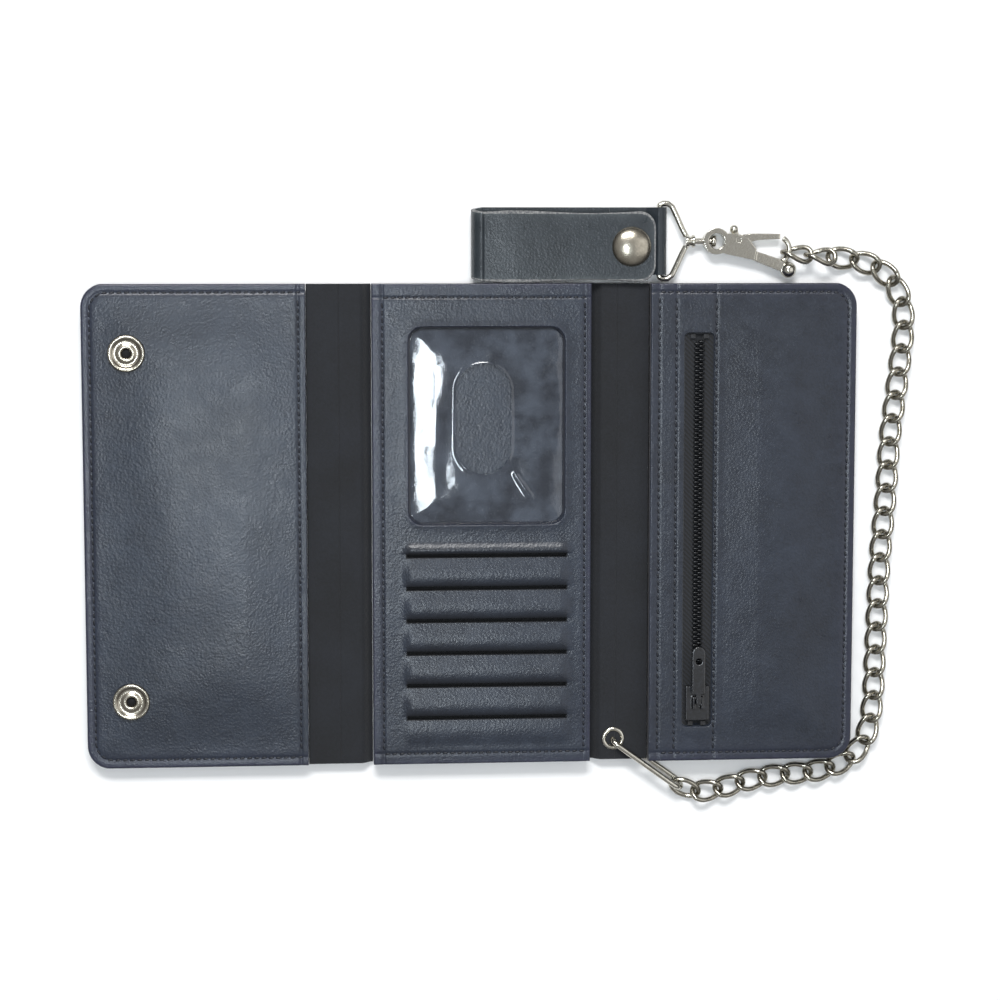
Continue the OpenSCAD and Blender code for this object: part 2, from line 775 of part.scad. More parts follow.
right_fold();
chain_eyelet();
eyelet_washer();
cover_middle();
card_board();
card_pocket_1();
card_pocket_2();
card_pocket_3();
card_pocket_4();
card_pocket_5();
card_pocket_6();
card_panel();
id_window();
left_fold();
cover_left();
left_pocket_panel();
left_snap_caps();
left_snap_sockets();
cover_right();
zip_pocket_panel();
zipper_tape_left();
zipper_tape_right();
zipper_teeth_left();
zipper_teeth_right();
zipper_stops();
coin_pocket_bag();
right_snap_studs();
right_snap_posts();
zipper_slider();
zipper_pull();
connector_link();
chain_run_1();
chain_run_2();
chain_run_3();
chain_run_4();
chain_run_5();
chain_run_6();
chain_run_7();
chain_run_8();
hook_body();
hook_gate();
gate_pin();
swivel_eye();
fob_strap();
fob_bend();
fob_flap();
fob_snap_cap();
fob_snap_socket();
fob_snap_stud();
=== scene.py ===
"""Leather chain wallet, lying open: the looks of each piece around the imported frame."""
import json
import math

import bmesh
import bpy
import numpy as np
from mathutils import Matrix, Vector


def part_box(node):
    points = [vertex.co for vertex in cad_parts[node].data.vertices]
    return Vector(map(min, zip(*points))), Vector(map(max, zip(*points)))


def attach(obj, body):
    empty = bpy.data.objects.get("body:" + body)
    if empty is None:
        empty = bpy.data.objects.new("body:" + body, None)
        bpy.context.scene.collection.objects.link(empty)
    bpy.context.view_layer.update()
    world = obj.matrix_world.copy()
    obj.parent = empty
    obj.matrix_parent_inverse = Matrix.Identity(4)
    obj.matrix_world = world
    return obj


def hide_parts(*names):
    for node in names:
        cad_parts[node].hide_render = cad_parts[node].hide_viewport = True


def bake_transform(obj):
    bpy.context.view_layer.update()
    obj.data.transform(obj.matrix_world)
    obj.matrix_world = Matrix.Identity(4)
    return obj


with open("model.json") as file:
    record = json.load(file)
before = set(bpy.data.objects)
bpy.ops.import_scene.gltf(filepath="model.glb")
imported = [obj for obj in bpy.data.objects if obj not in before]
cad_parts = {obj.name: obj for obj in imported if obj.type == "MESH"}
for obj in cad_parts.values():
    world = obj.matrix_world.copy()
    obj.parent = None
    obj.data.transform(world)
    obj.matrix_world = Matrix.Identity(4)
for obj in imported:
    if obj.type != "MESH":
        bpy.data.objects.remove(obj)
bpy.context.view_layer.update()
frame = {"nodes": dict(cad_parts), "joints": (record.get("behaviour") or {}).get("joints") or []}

MM = 0.001
rng = np.random.default_rng(7)


def span(node):
    """Lowest and highest corner of a CAD node, in millimetres."""
    low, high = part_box(node)
    return np.array(low) / MM, np.array(high) / MM


# ---- sizes taken from the frame, in millimetres ----------------------------------------

cover_l0, cover_l1 = span("cover_left")
cover_m0, cover_m1 = span("cover_middle")
cover_r0, cover_r1 = span("cover_right")
LEFT_X0, LEFT_X1 = cover_l0[0], cover_l1[0]
MID_X0, MID_X1 = cover_m0[0], cover_m1[0]
RIGHT_X0, RIGHT_X1 = cover_r0[0], cover_r1[0]
Y0, Y1 = cover_m0[1], cover_m1[1]
COVER_T = cover_m1[2]
LIFT = cover_l0[2]
INNER = cover_l1[2]
LEFT_TOP = span("left_pocket_panel")[1][2]
RIGHT_TOP = span("zip_pocket_panel")[1][2]
MID_TOP = span("card_panel")[1][2]
BOARD_Z1 = span("card_board")[1][2]
VINYL_Z0, VINYL_Z1 = span("id_window")[0][2], span("id_window")[1][2]
CORNER_R = 8.5
STITCH_PITCH = 2.6
STITCH_IN = 3.2
creases = {j["name"]: j["pos_m"] for j in frame["joints"] if j.get("pos_m")}
CREASE_1 = creases["middle_fold"][0] / MM
CREASE_2 = creases["right_flap_fold"][0] / MM
CREASE_3 = creases["left_spine_fold"][0] / MM
CREASE_4 = creases["left_flap_fold"][0] / MM

window_0, window_1 = span("id_window")
WINDOW_X = (window_0[0] + window_1[0]) / 2
WINDOW_Y = (window_0[1] + window_1[1]) / 2
WINDOW_W = window_1[0] - window_0[0] - 5
WINDOW_H = window_1[1] - window_0[1] - 5
WINDOW_R = 4.5
THUMB_W, THUMB_H = 19.8, 39.6
THUMB_X, THUMB_Y = WINDOW_X - 1.1, WINDOW_Y + 2.5
SLIT_TOP_Y = -10.1
SLIT_PITCH = 11.75
SLIT_W = 57.6
SLIT_GAP = 1.4
SLITS = [SLIT_TOP_Y - i * SLIT_PITCH for i in range(6)]

tape_0, tape_1 = span("zipper_tape_left")
ZIP_X = (span("zipper_tape_left")[1][0] + span("zipper_tape_right")[0][0]) / 2
ZIP_Y = (tape_0[1] + tape_1[1]) / 2
ZIP_W = 10.1
ZIP_L = tape_1[1] - tape_0[1] - 6
TAPE_Z = tape_1[2]


# ---- camera, floor and light -----------------------------------------------------------

CAMERA_DISTANCE = 0.90
AIM = np.array([10.3, 8.4, 0.0]) * MM
TILT_BACK, TILT_SIDE = math.radians(6.0), math.radians(4.6)


def look_at(place, target, up=(0, 1, 0)):
    """Turn that points -Z from place to target, with up as the view's upright."""
    back = np.array(place) - np.array(target)
    back /= np.linalg.norm(back)
    right = np.cross(up, back)
    right /= np.linalg.norm(right)
    from mathutils import Matrix
    return Matrix(np.array([right, np.cross(back, right), back]).T.tolist()).to_euler()


def make_camera():
    data = bpy.data.cameras.new("camera")
    data.sensor_width = 36
    data.lens = 36 * CAMERA_DISTANCE / 0.3605
    camera = bpy.data.objects.new("camera", data)
    bpy.context.scene.collection.objects.link(camera)
    direction = np.array([-math.sin(TILT_SIDE), math.sin(TILT_BACK), 0])
    direction[2] = math.sqrt(1 - (direction ** 2).sum())
    camera.location = AIM + direction * CAMERA_DISTANCE
    camera.rotation_euler = look_at(camera.location, AIM)
    bpy.context.scene.camera = camera


def area_light(name, place, target, size, power, colour=(1, 1, 1)):
    data = bpy.data.lights.new(name, "AREA")
    data.shape = "RECTANGLE"
    data.size, data.size_y = size
    data.energy = power
    data.color = colour
    light = bpy.data.objects.new(name, data)
    bpy.context.scene.collection.objects.link(light)
    light.location = place
    light.rotation_euler = look_at(place, target, (0, 1, 0.01))


make_camera()


# ---- materials -------------------------------------------------------------------------

def linear(code):
    """sRGB hex to a linear colour."""
    parts = [int(code[i:i + 2], 16) / 255 for i in (1, 3, 5)]
    return tuple(c / 12.92 if c <= 0.04045 else ((c + 0.055) / 1.055) ** 2.4 for c in parts) + (1,)


class Finish:
    """A material whose nodes are added one at a time."""

    def __init__(self, name, **surface):
        self.material = bpy.data.materials.new(name)
        self.material.use_nodes = True
        self.tree = self.material.node_tree
        self.shader = self.tree.nodes["Principled BSDF"]
        for socket, value in surface.items():
            self.shader.inputs[socket.replace("_", " ")].default_value = value
        self.coordinates = self.add("ShaderNodeTexCoord")

    def add(self, kind, links=None, **settings):
        """Add a node: settings are its properties or inputs, and links feeds its inputs."""
        made = self.tree.nodes.new(kind)
        for key, value in settings.items():
            if hasattr(made, key):
                setattr(made, key, value)
            else:
                made.inputs[key.replace("_", " ")].default_value = value
        for key, source in (links or {}).items():
            self.tree.links.new(source, made.inputs[key])
        return made

    def ramp(self, source, stops):
        """Colour ramp with (position, colour) stops."""
        made = self.add("ShaderNodeValToRGB", {0: source})
        elements = made.color_ramp.elements
        while len(elements) < len(stops):
            elements.new(0.5)
        for element, (position, colour) in zip(elements, stops):
            element.position = position
            element.color = colour if len(colour) == 4 else (*colour, 1)
        return made.outputs["Color"]

    def wire(self, source, socket):
        self.tree.links.new(source, self.shader.inputs[socket])

    def noise(self, cell_mm, detail=4.0, rough=0.55, **settings):
        """Noise whose blobs are about cell_mm across."""
        return self.add("ShaderNodeTexNoise", {"Vector": self.coordinates.outputs["Object"]},
                        Scale=1 / (cell_mm * MM), Detail=detail, Roughness=rough, **settings)

    def cells(self, cell_mm, **settings):
        """Voronoi cells about cell_mm across."""
        return self.add("ShaderNodeTexVoronoi", {"Vector": self.coordinates.outputs["Object"]},
                        Scale=1 / (cell_mm * MM), **settings)

    def mixed(self, factor, low, high, kind="MIX"):
        """Blend of two colours; each end is a colour or a socket."""
        made = self.add("ShaderNodeMix", data_type="RGBA", blend_type=kind)
        for index, value in ((0, factor), (6, low), (7, high)):
            if isinstance(value, (tuple, float, int)):
                made.inputs[index].default_value = value
            else:
                self.tree.links.new(value, made.inputs[index])
        return made.outputs[2]

    def math(self, operation, *values):
        made = self.add("ShaderNodeMath", operation=operation)
        for index, value in enumerate(values):
            if isinstance(value, (float, int)):
                made.inputs[index].default_value = value
            else:
                self.tree.links.new(value, made.inputs[index])
        return made.outputs[0]

    def bump(self, *layers):
        """Stack of (height socket, depth in millimetres) bumps on the shader's normal."""
        normal = None
        for height, depth in layers:
            links = {"Height": height}
            if normal is not None:
                links["Normal"] = normal
            made = self.add("ShaderNodeBump", links, Strength=1.0, Distance=depth * MM)
            normal = made.outputs["Normal"]
        self.wire(normal, "Normal")


def oiled_leather(name, dark, light, edge, rough=(0.27, 0.37)):
    """Smooth oiled cowhide, roller-finished: a fine pebble with open pores, a soft sheen that
    breaks up with handling, and a purple cast where the dye is thin along the edges."""
    f = Finish(name, IOR=1.46)
    f.shader.inputs["Sheen Weight"].default_value = 0.12
    f.shader.inputs["Sheen Roughness"].default_value = 0.5
    clouds = f.noise(34, detail=5)
    mottle = f.noise(6, detail=6, rough=0.65)
    flecks = f.noise(0.8, detail=3, rough=0.7)
    tone = f.math("ADD", f.math("MULTIPLY", clouds.outputs["Fac"], 0.35),
                  f.math("MULTIPLY", mottle.outputs["Fac"], 0.25))
    tone = f.math("ADD", tone, f.math("MULTIPLY", flecks.outputs["Fac"], 0.40))
    body = f.ramp(tone, [(0.34, linear(dark)), (0.64, linear(light))])
    worn = f.add("ShaderNodeAttribute", attribute_name="wear")
    streaks = f.noise(2.2, detail=6, rough=0.7)
    amount = f.math("MULTIPLY", worn.outputs["Fac"],
                    f.ramp(streaks.outputs["Fac"], [(0.36, (0.25,) * 3), (0.66, (1.0,) * 3)]))
    worn_body = f.mixed(amount, body, linear(edge))
    # Painted shade: a per-point attribute mixes the colour towards near-black #0c0f16 where the card panel's
    # slits and window rim lie in shade.
    painted_shade_attribute = f.add("ShaderNodeAttribute", attribute_name="painted_shade")
    f.wire(f.mixed(painted_shade_attribute.outputs["Fac"], worn_body, linear("#0c0f16")), "Base Color")
    low, high = rough
    f.wire(f.ramp(mottle.outputs["Fac"], [(0.3, (low,) * 3), (0.7, (high,) * 3)]), "Roughness")
    pebble = f.cells(0.85, feature="SMOOTH_F1", Smoothness=0.35)
    pores = f.noise(0.45, detail=3)
    creases = f.noise(9, detail=5, rough=0.6)
    f.bump((creases.outputs["Fac"], 0.16), (pebble.outputs["Distance"], 0.055), (pores.outputs["Fac"], 0.04))
    return f.material


def flesh_leather():
    """Flesh side and spine of the hide: matt, short nap, almost black."""
    f = Finish("flesh_side_leather", IOR=1.45)
    f.shader.inputs["Sheen Weight"].default_value = 0.25
    nap = f.noise(1.1, detail=8, rough=0.7)
    cloud = f.noise(18, detail=4)
    tone = f.math("ADD", f.math("MULTIPLY", nap.outputs["Fac"], 0.5),
                  f.math("MULTIPLY", cloud.outputs["Fac"], 0.5))
    f.wire(f.ramp(tone, [(0.36, linear("#0c0e12")), (0.64, linear("#171a21"))]), "Base Color")
    f.shader.inputs["Roughness"].default_value = 0.78
    f.bump((cloud.outputs["Fac"], 0.5), (nap.outputs["Fac"], 0.22))
    return f.material


def raw_edge():
    """Cut edge of the hide: pale fibres, dry and rough."""
    f = Finish("cut_leather_edge", Roughness=0.85, IOR=1.45)
    fibres = f.noise(0.7, detail=6, rough=0.7)
    f.wire(f.ramp(fibres.outputs["Fac"],
                  [(0.35, linear("#45474c")), (0.68, linear("#9b9b99"))]), "Base Color")
    f.bump((fibres.outputs["Fac"], 0.2))
    return f.material


def bonded_thread():
    """Bonded nylon thread, navy, twisted: two hard plies with a dull shine."""
    f = Finish("bonded_nylon_thread", Roughness=0.5, IOR=1.53)
    plies = f.noise(0.5, detail=2)
    f.wire(f.ramp(plies.outputs["Fac"], [(0.3, linear("#070a12")), (0.7, linear("#161b28"))]), "Base Color")
    f.bump((plies.outputs["Fac"], 0.1))
    return f.material


def clear_vinyl():
    """Soft PVC film, 0.3 mm: see-through, a little smoky, glossy, with slow ripples and scuffs."""
    f = Finish("clear_pvc_film", IOR=1.54, Roughness=0.10, Alpha=0.42)
    haze = f.noise(9, detail=5, rough=0.6)
    f.wire(f.ramp(haze.outputs["Fac"], [(0.38, linear("#2f3540")), (0.68, linear("#5b6472"))]), "Base Color")
    f.shader.inputs["Specular IOR Level"].default_value = 0.8
    f.shader.inputs["Coat Weight"].default_value = 0.7
    f.shader.inputs["Coat Roughness"].default_value = 0.08
    ripples = f.noise(16, detail=3, rough=0.55)
    scuffs = f.noise(2.5, detail=5, rough=0.7)
    f.bump((ripples.outputs["Fac"], 0.35), (scuffs.outputs["Fac"], 0.015))
    return f.material


def woven_tape():
    """Polyester zip tape: a twill of threads 0.4 mm apart."""
    f = Finish("polyester_twill_tape", Roughness=0.8, IOR=1.5)
    twill = f.add("ShaderNodeTexWave", {"Vector": f.coordinates.outputs["Object"]},
                  wave_type="BANDS", bands_direction="DIAGONAL",
                   Scale=1 / (1.3 * MM) / 6.28 * 3, Distortion=0.6, Detail=2.0)
    f.wire(f.ramp(twill.outputs["Fac"], [(0.2, linear("#07080a")), (0.8, linear("#15181f"))]), "Base Color")
    f.shader.inputs["Sheen Weight"].default_value = 0.3
    f.bump((twill.outputs["Fac"], 0.12))
    return f.material


def zip_plastic():
    """Moulded acetal zip teeth: hard, black, slightly polished by the slider."""
    f = Finish("moulded_acetal", Roughness=0.35, IOR=1.48)
    rub = f.noise(3, detail=4)
    f.wire(f.ramp(rub.outputs["Fac"], [(0.35, linear("#060709")), (0.7, linear("#101318"))]), "Base Color")
    f.bump((rub.outputs["Fac"], 0.03))
    return f.material


def black_enamel():
    """Zinc casting under black stoved enamel, rubbed thin on its corners."""
    f = Finish("stoved_black_enamel", IOR=1.5, Roughness=0.28)
    f.shader.inputs["Coat Weight"].default_value = 0.6
    f.shader.inputs["Coat Roughness"].default_value = 0.12
    chips = f.noise(1.2, detail=6, rough=0.7)
    f.wire(f.ramp(chips.outputs["Fac"], [(0.45, linear("#0d0e11")), (0.8, linear("#2b2e35"))]), "Base Color")
    f.bump((chips.outputs["Fac"], 0.03))
    return f.material


def nickel_plate(name, light, dark, rough=(0.12, 0.30), dull=3.0):
    """Bright nickel on drawn or pressed steel: warm grey, with handling marks that dull it."""
    f = Finish(name, Metallic=1.0)
    smear = f.noise(dull, detail=5, rough=0.65)
    f.wire(f.ramp(smear.outputs["Fac"], [(0.32, linear(dark)), (0.62, linear(light))]), "Base Color")
    low, high = rough
    f.wire(f.ramp(smear.outputs["Fac"], [(0.3, (high,) * 3), (0.65, (low,) * 3)]), "Roughness")
    marks = f.noise(0.9, detail=4)
    f.bump((marks.outputs["Fac"], 0.03))
    return f.material


def dark_hollow():
    """Unlit inside of a snap or a slit."""
    f = Finish("shadowed_hollow", Roughness=0.9)
    dust = f.noise(1.0)
    f.wire(f.ramp(dust.outputs["Fac"], [(0.3, linear("#050608")), (0.7, linear("#101216"))]), "Base Color")
    return f.material


GRAIN = oiled_leather("oiled_cowhide", "#171b24", "#2b3340", "#2b2b41")
# A darker copy of the same cowhide: its lower colours are painted shade for the right side; the covers use it
# too.
GRAIN_SHADED = oiled_leather("oiled_cowhide_shaded_copy", "#141820", "#282f3c", "#292a3f")
STRAP = oiled_leather("oiled_cowhide_strap", "#191e22", "#2b3238", "#565d5f")
FLESH = flesh_leather()
EDGE = raw_edge()
THREAD = bonded_thread()
VINYL = clear_vinyl()
TAPE = woven_tape()
TEETH = zip_plastic()
ENAMEL = black_enamel()
NICKEL = nickel_plate("bright_nickel", "#cfccc2", "#b4b0a5", rough=(0.12, 0.22))
CHAIN = nickel_plate("tumbled_nickel", "#aba79c", "#8a867a", rough=(0.16, 0.28), dull=2.0)
CAP = nickel_plate("dulled_nickel_cap", "#b3ada0", "#8f897c", rough=(0.20, 0.30), dull=6.0)
HOLLOW = dark_hollow()


# ---- mesh helpers ----------------------------------------------------------------------

def make(name, verts, faces, materials, smooth=True, index=None, wear=None, painted_shade=None):
    """Mesh object from arrays in millimetres; index gives each face's material."""
    mesh = bpy.data.meshes.new(name)
    verts = np.asarray(verts, float).reshape(-1, 3) * MM
    faces = np.asarray(faces, np.int32)
    mesh.vertices.add(len(verts))
    mesh.vertices.foreach_set("co", verts.ravel())
    mesh.loops.add(faces.size)
    mesh.loops.foreach_set("vertex_index", faces.ravel())
    mesh.polygons.add(len(faces))
    mesh.polygons.foreach_set("loop_start", np.arange(len(faces), dtype=np.int32) * faces.shape[1])
    mesh.polygons.foreach_set("loop_total", np.full(len(faces), faces.shape[1], np.int32))
    mesh.update(calc_edges=True)
    mesh.polygons.foreach_set("use_smooth", np.full(len(faces), smooth))
    for material in materials:
        mesh.materials.append(material)
    if index is not None:
        mesh.polygons.foreach_set("material_index", np.asarray(index, np.int32))
    if wear is not None:
        layer = mesh.attributes.new("wear", "FLOAT", "POINT")
        layer.data.foreach_set("value", np.asarray(wear, np.float32).ravel())
    # This attribute holds painted shade: how far each point is darkened to stand for shade.
    if painted_shade is not None:
        layer = mesh.attributes.new("painted_shade", "FLOAT", "POINT")
        layer.data.foreach_set("value", np.asarray(painted_shade, np.float32).ravel())
    mesh.validate()
    obj = bpy.data.objects.new(name, mesh)
    bpy.context.scene.collection.objects.link(obj)
    return obj


def quads(rows, columns, wrap_rows=False, wrap_columns=False, first=0):
    """Quads of a grid of points numbered row by row, wrapped where it closes on itself."""
    r = np.arange(rows if wrap_rows else rows - 1)
    c = np.arange(columns if wrap_columns else columns - 1)
    r, c = np.meshgrid(r, c, indexing="ij")
    r, c = r.ravel(), c.ravel()
    r1, c1 = (r + 1) % rows, (c + 1) % columns
    return np.stack([r * columns + c, r1 * columns + c, r1 * columns + c1, r * columns + c1], 1) + first


def lines(low, high, step, close=()):
    """Grid lines from low to high about step apart, with extra ones near each place in close,
    given as (place, reach, spacing)."""
    marks = [np.linspace(low, high, max(2, int(round((high - low) / step)) + 1))]
    for place, reach, spacing in close:
        marks.append(np.arange(place - reach, place + reach + spacing / 2, spacing))
    every = np.unique(np.round(np.concatenate(marks), 3))
    every = every[(every >= low) & (every <= high)]
    keep = [every[0]]
    for value in every[1:]:
        if value - keep[-1] > 0.06:
            keep.append(value)
    keep[-1] = every[-1]
    return np.array(keep)


def rounded_box_depth(x, y, x0, x1, y0, y1, r):
    """Distance inside a rectangle with round corners: the box's signed distance, negated."""
    cx, cy = (x0 + x1) / 2, (y0 + y1) / 2
    qx = np.abs(x - cx) - ((x1 - x0) / 2 - r)
    qy = np.abs(y - cy) - ((y1 - y0) / 2 - r)
    outside = np.hypot(np.maximum(qx, 0), np.maximum(qy, 0))
    return r - outside - np.minimum(np.maximum(qx, qy), 0)


def round_over(depth, radius):
    """Drop of a rounded edge: a quarter circle of that radius at depth 0."""
    left = radius - np.clip(depth, 0, radius)
    return radius - np.sqrt(np.maximum(radius ** 2 - left ** 2, 0))


def waves(x, y, cell, seed, count=6):
    """Smooth wandering height: a sum of sines with seeded directions, about cell across."""
    own = np.random.default_rng(seed)
    total = np.zeros_like(x, float)
    for i in range(count):
        angle = own.uniform(0, math.tau)
        size = cell * own.uniform(0.6, 1.6)
        phase = own.uniform(0, math.tau)
        total += np.sin((x * math.cos(angle) + y * math.sin(angle)) * math.tau / size + phase)
    return total / count


def corner_squeeze(xs, ys, x0, x1, y0, y1, r, side):
    """Plan of a panel whose outer corners are round: each row's outer end is drawn in by
    r - sqrt(r^2 - reach^2), and the points between keep their share of the row."""
    x, y = np.meshgrid(xs, ys, indexing="ij")
    reach = np.clip(r - np.minimum(y - y0, y1 - y), 0, r)
    inset = r - np.sqrt(np.maximum(r * r - reach * reach, 0))
    if side > 0:
        share = np.clip((x - (x1 - 3 * r)) / (3 * r), 0, 1)
        x = x - inset * share
    if side < 0:
        share = np.clip(((x0 + 3 * r) - x) / (3 * r), 0, 1)
        x = x + inset * share
    return x, y


def plate(name, x, y, top, bottom, materials, wear=None, index=None, painted_shade=None):
    """Closed sheet between two height fields over one plan grid."""
    rows, columns = x.shape
    count = rows * columns
    upper = np.stack([x, y, top], -1).reshape(-1, 3)
    lower = np.stack([x, y, bottom], -1).reshape(-1, 3)
    face_top = quads(rows, columns)
    face_low = quads(rows, columns, first=count)[:, ::-1]
    grid = np.arange(count).reshape(rows, columns)
    rim = np.concatenate([grid[:-1, 0], grid[-1, :-1], grid[:0:-1, -1], grid[0, :0:-1]])
    step = np.roll(rim, -1)
    walls = np.stack([rim, rim + count, step + count, step], 1)
    faces = np.concatenate([face_top, face_low, walls])
    slots = np.zeros(len(faces), np.int32)
    if index is not None:
        slots[:len(face_top)] = index
    shade = None if wear is None else np.concatenate([wear.ravel(), wear.ravel()])
    painted_shade_values = None if painted_shade is None else np.concatenate([painted_shade.ravel(), painted_shade.ravel()])
    return make(name, np.concatenate([upper, lower]), faces, materials, index=slots, wear=shade, painted_shade=painted_shade_values)


def top_index(x, y, mask):
    """Material 1 on the top faces whose middle the mask holds."""
    mx = (x[:-1, :-1] + x[1:, 1:]) / 2
    my = (y[:-1, :-1] + y[1:, 1:]) / 2
    return mask(mx, my).astype(np.int32).ravel()


def tube_parts(path, radius, sides, up=(0, 0, 1)):
    """Round bar along a closed path: rings of sides points in the plane across the path."""
    path = np.asarray(path, float)
    along = np.roll(path, -1, 0) - np.roll(path, 1, 0)
    along /= np.linalg.norm(along, axis=1)[:, None]
    side = np.cross(along, np.asarray(up, float))
    side /= np.linalg.norm(side, axis=1)[:, None]
    other = np.cross(along, side)
    a = np.linspace(0, math.tau, sides, endpoint=False)
    across = np.cos(a)[None, :, None] * side[:, None] + np.sin(a)[None, :, None] * other[:, None]
    verts = path[:, None] + radius * across
    faces = quads(len(path), sides, wrap_rows=True, wrap_columns=True)[:, ::-1]
    return verts.reshape(-1, 3), faces


def spun_parts(profile, centre, sides=48, flip=False):
    """Turned shape: a profile of (radius, height) points carried round the Z axis."""
    profile = np.asarray(profile, float)
    a = np.linspace(0, math.tau, sides, endpoint=False)
    r = np.maximum(profile[:, 0], 1e-3)
    verts = np.stack([r[:, None] * np.cos(a), r[:, None] * np.sin(a),
                      np.repeat(profile[:, 1][:, None], sides, 1)], -1).reshape(-1, 3)
    faces = quads(len(profile), sides, wrap_columns=True)
    faces = faces if flip else faces[:, ::-1]
    return verts + np.asarray(centre, float), faces


def joined(parts):
    """Stack of (verts, faces) parts as one pair of arrays."""
    verts, faces, first = [], [], 0
    for v, f in parts:
        verts.append(v)
        faces.append(f + first)
        first += len(v)
    return np.concatenate(verts), np.concatenate(faces)


def outward(obj):
    """Merge doubles and turn every normal outward."""
    mesh = bmesh.new()
    mesh.from_mesh(obj.data)
    bmesh.ops.remove_doubles(mesh, verts=mesh.verts, dist=2e-6)
    bmesh.ops.recalc_face_normals(mesh, faces=mesh.faces)
    mesh.to_mesh(obj.data)
    mesh.free()
    return obj


def smooth_profile(points):
    """Round curve through a profile's corners (two passes of corner cutting)."""
    points = np.asarray(points, float)
    for _ in range(2):
        a, b = points[:-1], points[1:]
        cut = np.stack([a * 0.75 + b * 0.25, a * 0.25 + b * 0.75], 1).reshape(-1, points.shape[1])
        points = np.concatenate([points[:1], cut[1:-1], points[-1:]])
    return points


# ---- stitches --------------------------------------------------------------------------

def capsule(sides=6, rings=5):
    """Unit stitch: a spindle along X from -1 to 1 whose radius is sqrt(1 - u^4)."""
    u = np.array([-1.0, -0.82, -0.35, 0.35, 0.82, 1.0])
    r = np.sqrt(np.maximum(1 - u ** 4, 0)) + 1e-3
    a = np.linspace(0, math.tau, sides, endpoint=False)
    verts = np.stack([np.repeat(u[:, None], sides, 1), r[:, None] * np.cos(a), r[:, None] * np.sin(a)], -1)
    return verts.reshape(-1, 3), quads(len(u), sides, wrap_columns=True)


def stitch_row(name, runs, height, body, pitch=STITCH_PITCH, half=0.98, thick=0.38, slant=9):
    """Rows of stitches: spindles spaced a pitch apart along each run, sunk into the surface
    whose height is given as a function of x and y, each turned a little off the row."""
    base, faces = capsule()
    places, angles = [], []
    for run in runs:
        run = np.asarray(run, float)
        leg = np.linalg.norm(np.diff(run, axis=0), axis=1)
        far = np.concatenate([[0], np.cumsum(leg)])
        s = np.arange(pitch / 2, far[-1], pitch)
        px, py = np.interp(s, far, run[:, 0]), np.interp(s, far, run[:, 1])
        qx, qy = np.interp(s + 0.3, far, run[:, 0]), np.interp(s + 0.3, far, run[:, 1])
        ox, oy = np.interp(s - 0.3, far, run[:, 0]), np.interp(s - 0.3, far, run[:, 1])
        places.append(np.stack([px, py], 1))
        angles.append(np.arctan2(qy - oy, qx - ox))
    place, angle = np.concatenate(places), np.concatenate(angles)
    count = len(place)
    angle = angle + math.radians(slant) + rng.normal(0, 0.05, count)
    long = half * (1 + rng.normal(0, 0.06, count))
    local = base[None] * np.stack([long, np.full(count, thick), np.full(count, thick * 0.8)], 1)[:, None]
    c, s = np.cos(angle)[:, None], np.sin(angle)[:, None]
    x = local[..., 0] * c - local[..., 1] * s + place[:, 0:1]
    y = local[..., 0] * s + local[..., 1] * c + place[:, 1:2]
    z = local[..., 2] + (height(place[:, 0], place[:, 1]) + 0.06)[:, None]
    verts = np.stack([x, y, z], -1).reshape(-1, 3)
    every = (faces[None] + (np.arange(count) * len(base))[:, None, None]).reshape(-1, 4)
    obj = make(name, verts, every, [THREAD])
    if body:
        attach(obj, body)
    return obj


def corner_run(x0, x1, y0, y1, r, side):
    """Line of stitches round three sides of a panel, with its two outer corners rounded."""
    a = np.linspace(0, math.pi / 2, 9)
    if side < 0:
        up = np.stack([x0 + r - r * np.sin(a), y1 - r + r * np.cos(a)], 1)
        down = np.stack([x0 + r - r * np.cos(a), y0 + r - r * np.sin(a)], 1)
        return np.concatenate([[[x1, y1]], up, down, [[x1, y0]]])
    up = np.stack([x1 - r + r * np.sin(a), y1 - r + r * np.cos(a)], 1)
    down = np.stack([x1 - r + r * np.cos(a), y0 + r - r * np.sin(a)], 1)
    return np.concatenate([[[x0, y1]], up, down, [[x0, y0]]])


def groove(distance, depth=0.28, width=0.75):
    """Valley that a pulled stitch line presses into the leather."""
    return depth * np.exp(-(distance / width) ** 2)


def edge_wear(depth, reach=2.6):
    """Wear that fades from the edge inward."""
    return np.exp(-np.clip(depth, 0, None) / reach)


# ---- left pocket panel -----------------------------------------------------------------

LEFT_HEM_X = LEFT_X1 - 2.8


def left_depth(x, y):
    return rounded_box_depth(x, y, LEFT_X0, LEFT_X1 + 30, Y0, Y1, CORNER_R)


def left_height(x, y):
    """Top of the left pocket: a rounded edge, a pressed stitch line, and a soft swelling over
    the loose pocket that falls to the stitched rim."""
    depth = left_depth(x, y)
    stitched = np.abs(depth - STITCH_IN)
    loose = np.clip((depth - 4) / 30, 0, 1)
    loose = loose * loose * (3 - 2 * loose)
    open_side = np.clip((LEFT_X1 - x) / 22, 0, 1)
    swell = 1.9 * loose * (0.35 + 0.65 * open_side) * (0.8 + 0.2 * waves(x, y, 70, 3))
    z = LEFT_TOP - 0.15 + swell + 0.16 * waves(x, y, 34, 5) * np.clip(depth / 8, 0, 1)
    z = z - round_over(depth, 0.9) - groove(stitched) - groove(np.abs(x - LEFT_HEM_X), 0.2, 0.6)
    return z - round_over(LEFT_X1 - x, 0.5)


